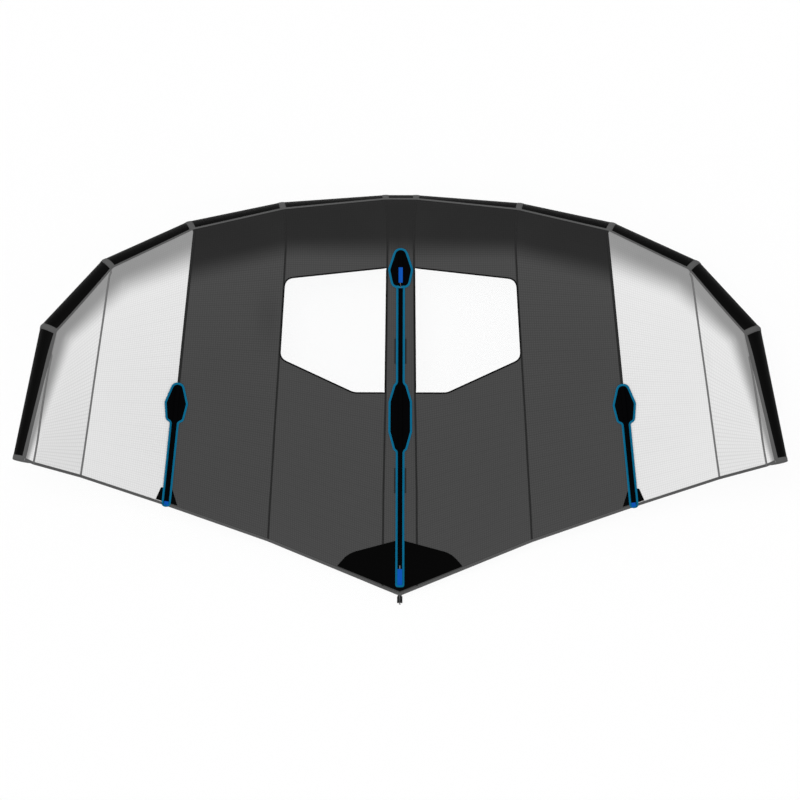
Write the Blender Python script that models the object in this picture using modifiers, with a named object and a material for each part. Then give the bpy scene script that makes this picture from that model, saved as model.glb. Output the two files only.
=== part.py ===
"""A strutless inflatable wing for wing foiling, at its real size in metres.

X runs along the span, Y towards the leading edge and Z up through the upper side of the canopy.
The origin lies on the ground, under the middle of the plan outline. The wing rests on the middle
of its inflated tube and on the tail end of the boom, which is hooked to the rear corner.
"""

import math

import bmesh
import bpy
from mathutils import Matrix, Vector

# Leading edge tube, shares are given for the seven stations: middle, five joints and tip
HALF_SPAN = 1.545
FRONT_Y = 0.819
SWEEP = 1.060
TIP_RISE = 0.285
LE_RADIUS = 0.105
CASING = 0.0010
BLADDER = 0.0005
TAPE_WIDTH = 0.024
TAPE_THICK = 0.0008
TUBE_SIDES = 24
SPAN_SHARES = (0.0, 0.0405, 0.310, 0.551, 0.770, 0.929, 1.0)
SWEEP_SHARES = (0.0, 0.0, 0.029, 0.103, 0.248, 0.498, 1.0)
RISE_SHARES = (0.0, 0.0, 0.081, 0.235, 0.509, 0.842, 1.0)
RADIUS_SHARES = (1.0, 1.0, 0.933, 0.838, 0.695, 0.524, 0.362)

# Canopy: angles on the tube, from straight ahead over the top, where it is sewn on and where it leaves
SEAM_ANGLES = (33.0, 33.0, 44.0, 53.0, 69.0, 97.0, 103.0)
LEAVE_ANGLES = (60.0, 60.0, 60.0, 62.0, 76.0, 104.0, 110.0)
CORNER_Y = -0.778
CORNER_Z = 0.045
REAR_SWEEP = 0.530
REAR_RISE = 0.375
REAR_SPAN_SHARES = (0.0, 0.0447, 0.3417, 0.6058, 0.8265, 0.9463)
REAR_SWEEP_SHARES = (0.0, 0.054, 0.411, 0.668, 0.900, 0.985)
REAR_RISE_SHARES = (0.0, 0.008, 0.108, 0.309, 0.645, 1.0)
FRONT_HANDLE_SHARE = 0.25
REAR_HANDLE_SHARE = 0.30
REAR_SLOPE = 0.12
TIP_SEAM_SHARE = 0.93
CLOTH = 0.0010
WRAP_STEPS = 4
CROWDING = 1.45
CHORD_STEPS = 12
PANEL_COLUMNS = 4
COLUMN_STEP = 1 / PANEL_COLUMNS

# Clearances
GAP = 0.0003
LAYER_GAP = 0.0004
SLEEVE_GAP = 0.0009

# Windows, in plan, measured on the right side
WINDOW_FRONT_INNER_Y = 0.526
WINDOW_FRONT_OUTER_Y = 0.484
WINDOW_REAR_INNER_Y = 0.028
WINDOW_REAR_OUTER_Y = 0.156
WINDOW_SLANT_X = 0.176
WINDOW_SEAM_MARGIN = 0.002
WINDOW_CORNER = 0.020
FILM = 0.0008

# Reinforcements on the upper side
PATCH = 0.0008
CORNER_PATCH_APEX = 0.213
CORNER_PATCH_SHOULDER_X = 0.206
CORNER_PATCH_SHOULDER = 0.162
CORNER_PATCH_END_X = 0.250
CORNER_PATCH_ROUND = 0.020
END_PATCH_LENGTH = 0.068
END_PATCH_TOP = 0.020
END_PATCH_BASE = 0.042
SPOT_PATCH_WIDTH = 0.048
SPOT_PATCH_LENGTH = 0.100
SPOT_PATCH_FRONT_Y = 0.195
SPOT_PATCH_REAR_Y = -0.322
SPOT_PATCH_ROUND = 0.008
HEM_DEPTH = 0.012
HEM_THICK = 0.0008
HEM_START = 0.02
HEM_END = 0.05

# Battens: sleeves with pads, flat rods and pull tags
SLEEVE_WIDTH = 0.036
SLEEVE_THICK = 0.0012
ROD_WIDTH = 0.015
ROD_THICK = 0.004
ROD_END = 0.012
CENTRE_SLEEVE_FRONT_Y = 0.608
CENTRE_SLEEVE_REAR_Y = -0.748
FRONT_PAD_WIDTH = 0.096
FRONT_PAD_TOP = 0.040
FRONT_PAD_WIDE_Y = 0.524
FRONT_PAD_NARROW_Y = 0.466
FRONT_PAD_REAR_Y = 0.448
MIDDLE_PAD_WIDTH = 0.095
MIDDLE_PAD_FRONT_Y = 0.068
MIDDLE_PAD_WIDE_FRONT_Y = -0.004
MIDDLE_PAD_WIDE_REAR_Y = -0.132
MIDDLE_PAD_REAR_Y = -0.204
PAD_NARROWING = 0.80
PAD_END_SHARE = 1.25
SIDE_SLEEVE_FRONT_Y = 0.064
SIDE_PAD_WIDTH = 0.094
SIDE_PAD_TOP = 0.048
SIDE_PAD_WIDE_Y = 0.010
SIDE_PAD_NARROW_Y = -0.066
SIDE_PAD_REAR_Y = -0.092
TAG_WIDTH = 0.016
TAG_THICK = 0.0010
FRONT_TAG = (0.532, 0.468)
REAR_TAG = (-0.674, -0.740)
SIDE_TAG = (-0.402, -0.420)

# Boom, measured along its own line from the head pin
MOUNT_ANGLE = 197.0
PIN_STANDOFF = 0.032
TAIL_REACH = 0.0336
TAIL_REST_Z = 0.0130
PIN_RADIUS = 0.004
FRONT_TUBE_RADIUS = 0.014
FRONT_TUBE_WALL = 0.0016
FRONT_TUBE_START = 0.032
FRONT_TUBE_SHARE = 0.596
TAIL_TUBE_RADIUS = 0.012
TAIL_TUBE_WALL = 0.0015
TUBE_OVERLAP = 0.382
TAIL_TUBE_SETBACK = 0.0435
GRIP_RADIUS = 0.0165
GRIP_END_ROUND = 0.003
HEAD_END = 0.072
HEAD_RADIUS = 0.0185
EYE_RADIUS = 0.0105
EYE_WIDTH = 0.016
LUG_THICK = 0.006
PLATE_THICK = 0.005
PLATE_WIDTH = 0.086
PLATE_ARC = 44.0
COLLAR_LENGTH = 0.060
COLLAR_RADIUS = 0.0190
COLLAR_LIP = 0.014
LEVER_LENGTH = 0.062
LEVER_HEIGHT = 0.014
LEVER_THICK = 0.006
LEVER_PIN_RADIUS = 0.0025
EAR_LENGTH = 0.016
EAR_THICK = 0.004
TAIL_NECK_WIDTH = 0.016
TAIL_BLOCK_WIDTH = 0.0216
TAIL_BLOCK_LENGTH = 0.026
TAIL_BLOCK_HEIGHT = 0.026
TAIL_SLOT = 0.0046
LINE_RADIUS = 0.0016
KNOT_RADIUS = 0.0042

# Valve on the rear side of the tube
VALVE_STATION = 1.45
VALVE_ANGLE = 195.0
VALVE_RADIUS = 0.0210
VALVE_DEPTH = 0.010
VALVE_PROUD = 0.003
VALVE_BORE = 0.0115
VALVE_SEAT = 0.0060
VALVE_SEAT_THICK = 0.002
BUTTON_RADIUS = 0.0095
BUTTON_THICK = 0.0025
STEM_RADIUS = 0.0055
CAP_RADIUS = 0.0150
CAP_THICK = 0.004
CAP_ARM = 0.006

# Front handle under the tube
HANDLE_ANGLE = -45.0
HANDLE_HALF = 0.160
HANDLE_FOOT = 0.030
HANDLE_SLOPE = 0.045
HANDLE_STANDOFF = 0.0200
WEBBING_WIDTH = 0.024
WEBBING = 0.002
HANDLE_PAD_END = 0.015
HANDLE_PAD_HALF = HANDLE_HALF - HANDLE_FOOT - HANDLE_SLOPE - HANDLE_PAD_END
HANDLE_PAD_THICK = 0.002

TAPE_TOP = GAP + TAPE_THICK
FACET_SHARE = math.cos(math.pi / TUBE_SIDES)
LE_AXIS_Z = (LE_RADIUS + TAPE_TOP) * FACET_SHARE
CANOPY_LIFT = TAPE_TOP + LAYER_GAP
LAYER_LIFT = CLOTH + LAYER_GAP
SLEEVE_LIFT = LAYER_LIFT + PATCH + SLEEVE_GAP

for old in list(bpy.data.objects):
    bpy.data.objects.remove(old)

PARTS = bpy.data.collections.new("wingfoil_wing")
CUTTERS = bpy.data.collections.new("cutters")
for each_collection in (PARTS, CUTTERS):
    bpy.context.scene.collection.children.link(each_collection)


# Materials and objects
def material(name, colour, roughness, metallic=0.0, alpha=1.0):
    made = bpy.data.materials.new(name)
    made.use_nodes = True
    shader = made.node_tree.nodes["Principled BSDF"]
    shader.inputs["Base Color"].default_value = (*colour, 1.0)
    shader.inputs["Roughness"].default_value = roughness
    shader.inputs["Metallic"].default_value = metallic
    shader.inputs["Alpha"].default_value = alpha
    return made


BLACK_CLOTH = material("black tube cloth", (0.006, 0.006, 0.006), 0.7)
DARK_CLOTH = material("dark canopy cloth", (0.06, 0.06, 0.06), 0.75)
WHITE_CLOTH = material("white canopy cloth", (0.74, 0.74, 0.74), 0.7)
GREY_TAPE = material("grey tape", (0.14, 0.14, 0.14), 0.7)
BLACK_PATCH = material("black reinforcement", (0.003, 0.003, 0.003), 0.65)
SLEEVE_CLOTH = material("sleeve cloth", (0.004, 0.004, 0.005), 0.65)
BLUE_TAG = material("blue tag", (0.004, 0.107, 0.54), 0.6)
CLEAR_FILM = material("clear film", (0.9, 0.93, 0.95), 0.08, 0.0, 0.35)
BLADDER_FILM = material("bladder film", (0.55, 0.57, 0.55), 0.4)
GLASS_ROD = material("glass fibre rod", (0.75, 0.72, 0.55), 0.4)
ALLOY = material("black anodised tube", (0.03, 0.03, 0.033), 0.35, 0.9)
STEEL = material("stainless pin", (0.55, 0.55, 0.56), 0.25, 1.0)
BLACK_PLASTIC = material("black plastic", (0.012, 0.012, 0.013), 0.45)
FOAM = material("foam grip", (0.02, 0.02, 0.021), 0.9)
LINE = material("outhaul line", (0.25, 0.25, 0.26), 0.8)


def add_object(name, mesh, surface, parent=None, place=None):
    made = bpy.data.objects.new(name, mesh)
    made.data.materials.append(surface)
    PARTS.objects.link(made)
    made.parent = parent
    if place is not None:
        made.matrix_local = place
    return made


def from_bmesh(name, bm, surface, parent=None, place=None):
    bmesh.ops.recalc_face_normals(bm, faces=bm.faces)
    mesh = bpy.data.meshes.new(name)
    bm.to_mesh(mesh)
    bm.free()
    return add_object(name, mesh, surface, parent, place)


def loft(name, sections, surface, ring=False):
    """Skin a row of sections with equal numbers of points; a ring closes on itself and has no ends.

    The second half of a section runs back over the first, so its diagonals turn the other way.
    """
    bm = bmesh.new()
    rows = [[bm.verts.new(point) for point in section] for section in sections]
    count = len(rows[0])
    pairs = list(zip(rows, rows[1:]))
    if ring:
        pairs.append((rows[-1], rows[0]))
    for near, far in pairs:
        for i in range(count):
            j = (i + 1) % count
            if i < count // 2:
                bm.faces.new((near[i], near[j], far[j]))
                bm.faces.new((near[i], far[j], far[i]))
            else:
                bm.faces.new((near[i], near[j], far[i]))
                bm.faces.new((near[j], far[j], far[i]))
    if not ring:
        for row in (rows[0], rows[-1]):
            for i in range(count // 2 - 1):
                bm.faces.new((row[i], row[i + 1], row[count - 2 - i], row[count - 1 - i]))
    return from_bmesh(name, bm, surface)


def prism(name, outline, bottom, top):
    """A vertical cutter with this plan outline."""
    bm = bmesh.new()
    face = bm.faces.new([bm.verts.new((x, y, bottom)) for x, y in outline])
    made = bmesh.ops.extrude_face_region(bm, geom=[face])
    bmesh.ops.translate(
        bm,
        vec=(0, 0, top - bottom),
        verts=[part for part in made["geom"] if isinstance(part, bmesh.types.BMVert)],
    )
    bmesh.ops.holes_fill(bm, edges=bm.edges)
    bmesh.ops.recalc_face_normals(bm, faces=bm.faces)
    mesh = bpy.data.meshes.new(name)
    bm.to_mesh(mesh)
    bm.free()
    return as_cutter(bpy.data.objects.new(name, mesh))


def as_cutter(made):
    for owner in list(made.users_collection):
        owner.objects.unlink(made)
    CUTTERS.objects.link(made)
    made.hide_render = True
    made.display_type = "WIRE"
    return made


def boolean(target, tool, operation="DIFFERENCE"):
    cut = target.modifiers.new(operation.lower(), "BOOLEAN")
    cut.operation = operation
    cut.object = tool
    cut.solver = "EXACT"


def rounded(corners, radius, steps=4):
    """A plan outline with its listed corners rounded by arcs; corners are (x, y, round or not)."""
    outline = []
    for i, (x, y, is_round) in enumerate(corners):
        here = Vector((x, y))
        if not is_round:
            outline.append((x, y))
            continue
        before = (Vector(corners[i - 1][:2]) - here).normalized()
        after = (Vector(corners[(i + 1) % len(corners)][:2]) - here).normalized()
        half = before.angle(after) / 2
        reach = radius / math.tan(half)
        middle = here + (before + after).normalized() * (radius / math.sin(half))
        first = here + before * reach - middle
        last = here + after * reach - middle
        for step in range(steps + 1):
            spoke = first.lerp(last, step / steps).normalized() * radius
            outline.append(tuple(middle + spoke))
    return outline


# The tube
def lerp(a, b, share):
    return a + (b - a) * share


def share_at(table, where):
    k = min(int(where), len(table) - 2)
    return lerp(table[k], table[k + 1], where - k)


def outer_joint(k):
    return Vector((HALF_SPAN * SPAN_SHARES[k], FRONT_Y - SWEEP * SWEEP_SHARES[k], TIP_RISE * RISE_SHARES[k]))


def tube_ring(k):
    """Centre, outward, up and radius of the tube's ring at a station; rings lie in the mitre planes."""
    joints = [outer_joint(i) for i in range(len(SPAN_SHARES))]
    after = (joints[k + 1] - joints[k]).normalized() if k + 1 < len(joints) else None
    before = (joints[k] - joints[k - 1]).normalized() if k else Vector((1, 0, 0))
    after = before if after is None else after
    along = (before + after).normalized()
    outward = Vector((-along.y, along.x, 0)).normalized()
    up = along.cross(outward).normalized()
    stretch = 1 / along.dot(before)
    radius = LE_RADIUS * RADIUS_SHARES[k]
    centre = joints[k] - outward * radius * stretch + Vector((0, 0, LE_AXIS_Z))
    return centre, outward * stretch, up, radius


RINGS = [tube_ring(k) for k in range(len(SPAN_SHARES))]
LAST = len(RINGS) - 1


def ring_point(k, angle, lift):
    centre, outward, up, radius = RINGS[k]
    turn = math.radians(angle)
    return centre + (outward * math.cos(turn) + up * math.sin(turn)) * (radius + lift)


def tube_point(where, angle, lift=0.0):
    """A point of the right half's surface at a station number, an angle and a lift off the cloth."""
    k = min(int(where), LAST - 1)
    return ring_point(k, angle, lift).lerp(ring_point(k + 1, angle, lift), where - k)


def panel_length(k):
    return (RINGS[k + 1][0] - RINGS[k][0]).length


def sided(point, side):
    return Vector((point.x * side, point.y, point.z))


TUBE_ANGLES = [360.0 * (i + 0.5) / TUBE_SIDES for i in range(TUBE_SIDES)]
SIDES = (("left", -1), ("right", 1))


def tube_wall(name, surface, profile):
    """A tube wall from a profile of (side, station, lift) points, carried round the ring."""
    sections = []
    for angle in TUBE_ANGLES:
        sections.append([sided(tube_point(where, angle, lift), side) for side, where, lift in profile])
    return loft(name, sections, surface, ring=True)


def casing_profile(k, side):
    """One straight panel with the tape that covers its inner joint."""
    inner_length = panel_length(k - 1)
    length = panel_length(k)
    seam = GAP / 2 / length
    over = k - TAPE_WIDTH / 2 / inner_length
    tape_end = k + TAPE_WIDTH / 2 / length
    points = (
        (k + seam, -CASING),
        (k + seam, GAP),
        (over, GAP),
        (over, TAPE_TOP),
        (k, TAPE_TOP),
        (tape_end, TAPE_TOP),
        (tape_end, 0.0),
        (k + 1 - seam, 0.0),
        (k + 1 - seam, -CASING),
    )
    return [(side, where, lift) for where, lift in points]


def tube_solid(name, lift):
    """The whole tube as one filled body, from tip to tip."""
    stops = [-k for k in range(LAST, 0, -1)] + list(range(1, LAST + 1))
    sections = []
    for stop in stops:
        side = -1 if stop < 0 else 1
        where = min(abs(stop), LAST - TAPE_WIDTH / 2 / panel_length(LAST - 1))
        sections.append([sided(tube_point(where, angle, lift), side) for angle in TUBE_ANGLES])
    return loft(name, sections, BLADDER_FILM)


def valve_frame():
    """Place of the valve: its own Z points out of the tube."""
    apex = tube_point(VALVE_STATION, VALVE_ANGLE)
    k = int(VALVE_STATION)
    along = (RINGS[k + 1][0] - RINGS[k][0]).normalized()
    centre = RINGS[k][0].lerp(RINGS[k + 1][0], VALVE_STATION - k)
    out = (apex - centre).normalized()
    across = out.cross(along).normalized()
    along = across.cross(out)
    turn = Matrix((along, across, out)).transposed().to_4x4()
    return Matrix.Translation(apex) @ turn


def build_tube():
    seam = GAP / 2 / panel_length(0)
    middle = ((-1, 1 - seam, -CASING), (-1, 1 - seam, 0.0), (1, 1 - seam, 0.0), (1, 1 - seam, -CASING))
    tube_wall("le_panel_center", BLACK_CLOTH, middle)
    holes = valve_hole()
    for side_name, side in SIDES:
        for k in range(1, LAST):
            panel = tube_wall(f"le_panel_{k}_{side_name}", BLACK_CLOTH, casing_profile(k, side))
            if k == int(VALVE_STATION) and side > 0:
                boolean(panel, holes)
        tip_cap(f"tip_cap_{side_name}", side)
    bladder = tube_solid("le_bladder", -CASING - GAP)
    boolean(bladder, as_cutter(tube_solid("bladder_air", -CASING - GAP - BLADDER)))
    boolean(bladder, holes)


def tip_cap(name, side):
    """A sewn cup that closes the end of the tube."""
    length = panel_length(LAST - 1)
    skirt = TAPE_WIDTH / 2 / length
    dome = LE_RADIUS * RADIUS_SHARES[LAST]
    inner = TAPE_TOP - TAPE_THICK
    profile = (
        (LAST + skirt / 4, inner - dome * 0.7),
        (LAST + skirt / 8, inner),
        (LAST - skirt, inner),
        (LAST - skirt, TAPE_TOP),
        (LAST + skirt / 4, TAPE_TOP),
        (LAST + skirt / 2, TAPE_TOP - dome * 0.3),
        (LAST + skirt * 0.7, TAPE_TOP - dome * 0.8),
    )
    sections = []
    for where, lift in profile:
        sections.append([sided(tube_point(where, angle, lift), side) for angle in TUBE_ANGLES])
    loft(name, sections, GREY_TAPE)


# The canopy
def rear_point(where):
    """A point of the trailing edge; station 5 is the last seam before the tip."""
    x = HALF_SPAN * share_at(REAR_SPAN_SHARES, where)
    y = CORNER_Y + REAR_SWEEP * share_at(REAR_SWEEP_SHARES, where)
    z = CORNER_Z + REAR_RISE * share_at(REAR_RISE_SHARES, where)
    return Vector((x, y, z))


def bezier(points, share):
    a, b, c, d = points
    rest = 1 - share
    return a * rest**3 + b * (3 * rest * rest * share) + c * (3 * rest * share * share) + d * share**3


def canopy_column(where):
    """The underside of the canopy from the tube to the trailing edge, on the right half."""
    on_tube = where if where <= LAST - 2 else LAST - 2 + (where - LAST + 2) * TIP_SEAM_SHARE
    seam = share_at(SEAM_ANGLES, on_tube)
    leave = share_at(LEAVE_ANGLES, on_tube)
    points = []
    for step in range(WRAP_STEPS):
        points.append(tube_point(on_tube, lerp(seam, leave, step / WRAP_STEPS), CANOPY_LIFT))
    start = tube_point(on_tube, leave, CANOPY_LIFT)
    end = rear_point(where)
    flat = Vector((end.x - start.x, end.y - start.y, 0))
    length = flat.length
    ahead = flat.normalized()
    k = min(int(on_tube), LAST - 1)
    centre = RINGS[k][0].lerp(RINGS[k + 1][0], on_tube - k)
    normal = start - centre
    slope = -ahead.dot(normal) / normal.z
    tip = RINGS[LAST][0] - RINGS[LAST - 1][0]
    tip_slope = tip.z / math.hypot(tip.x, tip.y)
    slope = lerp(slope, tip_slope, max(0.0, where - LAST + 2))
    near = start + (ahead + Vector((0, 0, slope))) * length * FRONT_HANDLE_SHARE
    far = end - (ahead - Vector((0, 0, REAR_SLOPE))) * length * REAR_HANDLE_SHARE
    for step in range(CHORD_STEPS + 1):
        points.append(bezier((start, near, far, end), (step / CHORD_STEPS) ** CROWDING))
    return points


def tip_column():
    """The last column follows the seam along the tip panel of the tube."""
    model = canopy_column(LAST - 1)
    whole = (model[-1].xy - model[0].xy).length
    points = []
    for point in model:
        where = LAST - 1 + (point.xy - model[0].xy).length / whole
        where = min(where, LAST - TAPE_WIDTH / panel_length(LAST - 1))
        points.append(tube_point(where, share_at(SEAM_ANGLES, where), CANOPY_LIFT))
    for i in range(1, len(points)):
        if (points[i] - points[i - 1]).length < CLOTH:
            points[i] = points[i] + Vector((0, -CLOTH, 0))
    return points


def columns_between(first, last):
    """Columns of one sewn panel, drawn in a little at its seams."""
    stops = [lerp(first, last, i * COLUMN_STEP) for i in range(PANEL_COLUMNS + 1)]
    columns = [tip_column() if stop > LAST - 1 else canopy_column(stop) for stop in stops]
    inset = Vector((GAP / 2, 0, 0))
    columns[0] = [point + inset for point in columns[0]]
    if last < LAST:
        columns[-1] = [point - inset for point in columns[-1]]
    return columns


def cloth(name, columns, surface, lift=0.0, thick=CLOTH, side=1):
    """A closed sheet over the canopy's grid, of even thickness in Z."""
    low = Vector((0, 0, lift))
    high = Vector((0, 0, lift + thick))
    sections = []
    for row in zip(*columns):
        below = [sided(point + low, side) for point in row]
        above = [sided(point + high, side) for point in reversed(row)]
        sections.append(below + above)
    return loft(name, sections, surface)


def row_at(column, y):
    """Row number, with its fraction, where a column passes this distance along Y."""
    for row, (ahead, behind) in enumerate(zip(column, column[1:])):
        if behind.y <= y <= ahead.y:
            return row + (y - ahead.y) / (behind.y - ahead.y)
    return len(column) - 1.0


def point_at_row(column, row):
    k = min(int(row), len(column) - 2)
    return column[k].lerp(column[k + 1], row - k)


def plan_on_column(column, y):
    return point_at_row(column, row_at(column, y))


def window_outline(side, grow):
    """The window reaches from the inner seam to the next one, with its outer corners rounded."""
    inner = canopy_column(1)
    outer = canopy_column(2)
    corners = (
        (inner, WINDOW_FRONT_INNER_Y + grow, 1, False),
        (outer, WINDOW_FRONT_OUTER_Y + grow, -1, True),
        (outer, WINDOW_REAR_OUTER_Y - grow, -1, True),
        (None, WINDOW_REAR_INNER_Y - grow, 0, False),
        (inner, WINDOW_REAR_INNER_Y - grow, 1, False),
    )
    found = []
    for column, y, inward, is_round in corners:
        x = WINDOW_SLANT_X if column is None else plan_on_column(column, y).x
        x += inward * (WINDOW_SEAM_MARGIN - grow)
        found.append((x * side, y, is_round))
    return rounded(found, WINDOW_CORNER)


def build_canopy():
    middle = canopy_column(0)
    seam = [point - Vector((GAP / 2, 0, 0)) for point in canopy_column(1)]
    mirrored = [sided(point, -1) for point in seam]
    cloth("canopy_center_panel", [mirrored, middle, seam], DARK_CLOTH)
    bottom = CORNER_Z
    top = LE_RADIUS * 4
    for side_name, side in SIDES:
        inner = columns_between(1, 2)
        panel = cloth(f"canopy_inner_panel_{side_name}", inner, DARK_CLOTH, side=side)
        hole = prism(f"window_hole_{side_name}", window_outline(side, GAP), bottom, top)
        boolean(panel, hole)
        window = cloth(f"window_{side_name}", inner, CLEAR_FILM, thick=FILM, side=side)
        edge = prism(f"window_edge_{side_name}", window_outline(side, 0.0), bottom, top)
        boolean(window, edge, "INTERSECT")
        cloth(f"canopy_mid_panel_{side_name}", columns_between(2, 3), DARK_CLOTH, side=side)
        cloth(f"canopy_outer_panel_{side_name}", columns_between(3, 4), WHITE_CLOTH, side=side)
        tip = columns_between(4, 5)[:-1] + [canopy_column(5), tip_column()]
        cloth(f"canopy_tip_panel_{side_name}", tip, WHITE_CLOTH, side=side)
        hem(f"trailing_edge_hem_{side_name}", side)


def hem(name, side):
    """A tape folded round the trailing edge, from the rear corner to the last seam."""
    stops = [HEM_START] + [1 + i * COLUMN_STEP for i in range((LAST - 2) * PANEL_COLUMNS)] + [LAST - 1 - HEM_END]
    inner_low = -LAYER_GAP
    inner_high = CLOTH + LAYER_GAP
    sections = []
    for stop in stops:
        column = canopy_column(stop)
        rear = column[-1]
        forward = (column[-2] - rear).normalized()
        front = rear + forward * HEM_DEPTH
        back = rear - forward * LAYER_GAP
        fold = rear - forward * (LAYER_GAP + HEM_THICK)
        section = (
            (front, inner_low - HEM_THICK),
            (fold, inner_low - HEM_THICK),
            (fold, inner_high + HEM_THICK),
            (front, inner_high + HEM_THICK),
            (front, inner_high),
            (back, inner_high),
            (back, inner_low),
            (front, inner_low),
        )
        sections.append([sided(point + Vector((0, 0, lift)), side) for point, lift in section])
    loft(name, sections, GREY_TAPE)


# What lies on the canopy
def row_stops(column, front_y, rear_y, breaks):
    """Distances along Y where a strip on this column needs a section."""
    inside = [point.y for point in column if rear_y + GAP < point.y < front_y - GAP]
    stops = sorted(set([front_y, rear_y] + list(breaks) + inside), reverse=True)
    kept = [stops[0]]
    for stop in stops[1:]:
        if kept[-1] - stop > SLEEVE_THICK or stop == rear_y:
            kept.append(stop)
    return kept


def on_canopy(where, y, across, lift):
    """A point over the canopy's upper side, this far across from a seam, in the row that meets it at y."""
    line = canopy_column(where)
    row = row_at(line, y)
    here = point_at_row(line, row)
    if where == 0 or abs(across) < GAP:
        return Vector((here.x + across, here.y, here.z + lift))
    beside = canopy_column(where + math.copysign(COLUMN_STEP, across))
    other = point_at_row(beside, row)
    return here.lerp(other, across / (other.x - here.x)) + Vector((0, 0, lift))


def width_at(table, y):
    for (y_a, w_a), (y_b, w_b) in zip(table, table[1:]):
        if y_b <= y <= y_a:
            return lerp(w_a, w_b, (y_a - y) / (y_a - y_b))
    return table[-1][1]


def flat_strip(name, where, table, lift, thick, surface, side=1):
    """A flat piece along a seam; its table lists (y, width) from front to rear."""
    stops = row_stops(canopy_column(where), table[0][0], table[-1][0], [y for y, _ in table])
    sections = []
    for y in stops:
        half = width_at(table, y) / 2
        points = ((-half, lift), (0, lift), (half, lift), (half, lift + thick), (0, lift + thick), (-half, lift + thick))
        sections.append([sided(on_canopy(where, y, across, z), side) for across, z in points])
    return loft(name, sections, surface)


def sleeve(name, where, table, side=1):
    """A batten sleeve: flat edges sewn down, with a raised channel over the rod."""
    stops = row_stops(canopy_column(where), table[0][0], table[-1][0], [y for y, _ in table])
    foot = ROD_WIDTH / 2 + GAP + SLEEVE_THICK * 2
    shoulder = ROD_WIDTH / 2 + GAP
    low = SLEEVE_LIFT
    high = SLEEVE_LIFT + GAP + ROD_THICK + LAYER_GAP
    sections = []
    for y in stops:
        half = width_at(table, y) / 2
        left = ((-half, low), (-foot, low), (-shoulder, high))
        under = (*left, (0, high), *((-across, z) for across, z in reversed(left)))
        over = [(across, z + SLEEVE_THICK) for across, z in reversed(under)]
        sections.append([sided(on_canopy(where, y, across, z), side) for across, z in (*under, *over)])
    return loft(name, sections, SLEEVE_CLOTH)


def rod(name, where, front_y, rear_y, side=1):
    table = ((front_y - ROD_END, ROD_WIDTH), (rear_y + ROD_END, ROD_WIDTH))
    flat_strip(name, where, table, SLEEVE_LIFT + GAP, ROD_THICK, GLASS_ROD, side)


def tag(name, where, span, side=1):
    table = ((span[0], TAG_WIDTH), (span[1], TAG_WIDTH))
    top = SLEEVE_LIFT + GAP + ROD_THICK + LAYER_GAP + SLEEVE_THICK
    flat_strip(name, where, table, top + LAYER_GAP, TAG_THICK, BLUE_TAG, side)


def spot_patch(name, middle_y):
    half = SPOT_PATCH_LENGTH / 2
    soft = SPOT_PATCH_ROUND
    narrow = SPOT_PATCH_WIDTH - 2 * soft
    table = (
        (middle_y + half, narrow),
        (middle_y + half - soft, SPOT_PATCH_WIDTH),
        (middle_y - half + soft, SPOT_PATCH_WIDTH),
        (middle_y - half, narrow),
    )
    flat_strip(name, 0, table, LAYER_LIFT, PATCH, BLACK_PATCH)


def build_battens():
    centre_table = (
        (CENTRE_SLEEVE_FRONT_Y, FRONT_PAD_TOP),
        (FRONT_PAD_WIDE_Y, FRONT_PAD_WIDTH),
        (FRONT_PAD_NARROW_Y, FRONT_PAD_WIDTH * PAD_NARROWING),
        (FRONT_PAD_REAR_Y, SLEEVE_WIDTH * PAD_END_SHARE),
        (FRONT_PAD_REAR_Y - ROD_END, SLEEVE_WIDTH),
        (MIDDLE_PAD_FRONT_Y, SLEEVE_WIDTH),
        (MIDDLE_PAD_WIDE_FRONT_Y, MIDDLE_PAD_WIDTH),
        (MIDDLE_PAD_WIDE_REAR_Y, MIDDLE_PAD_WIDTH),
        (MIDDLE_PAD_REAR_Y, SLEEVE_WIDTH),
        (CENTRE_SLEEVE_REAR_Y, SLEEVE_WIDTH),
    )
    sleeve("center_batten_sleeve", 0, centre_table)
    rod("center_batten_rod", 0, CENTRE_SLEEVE_FRONT_Y, CENTRE_SLEEVE_REAR_Y)
    tag("front_batten_tag", 0, FRONT_TAG)
    tag("rear_batten_tag", 0, REAR_TAG)
    spot_patch("spot_patch_front", SPOT_PATCH_FRONT_Y)
    spot_patch("spot_patch_rear", SPOT_PATCH_REAR_Y)
    side_table = (
        (SIDE_SLEEVE_FRONT_Y, SIDE_PAD_TOP),
        (SIDE_PAD_WIDE_Y, SIDE_PAD_WIDTH),
        (SIDE_PAD_NARROW_Y, SIDE_PAD_WIDTH * PAD_NARROWING),
        (SIDE_PAD_REAR_Y, SLEEVE_WIDTH * PAD_END_SHARE),
        (SIDE_PAD_REAR_Y - ROD_END, SLEEVE_WIDTH),
        (rear_point(3).y + GAP, SLEEVE_WIDTH),
    )
    for side_name, side in SIDES:
        sleeve(f"side_batten_sleeve_{side_name}", 3, side_table, side)
        rod(f"side_batten_rod_{side_name}", 3, SIDE_SLEEVE_FRONT_Y, rear_point(3).y, side)
        tag(f"side_batten_tag_{side_name}", 3, SIDE_TAG, side)
        build_end_patch(f"batten_end_patch_{side_name}", side)
    build_corner_patch()


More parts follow.
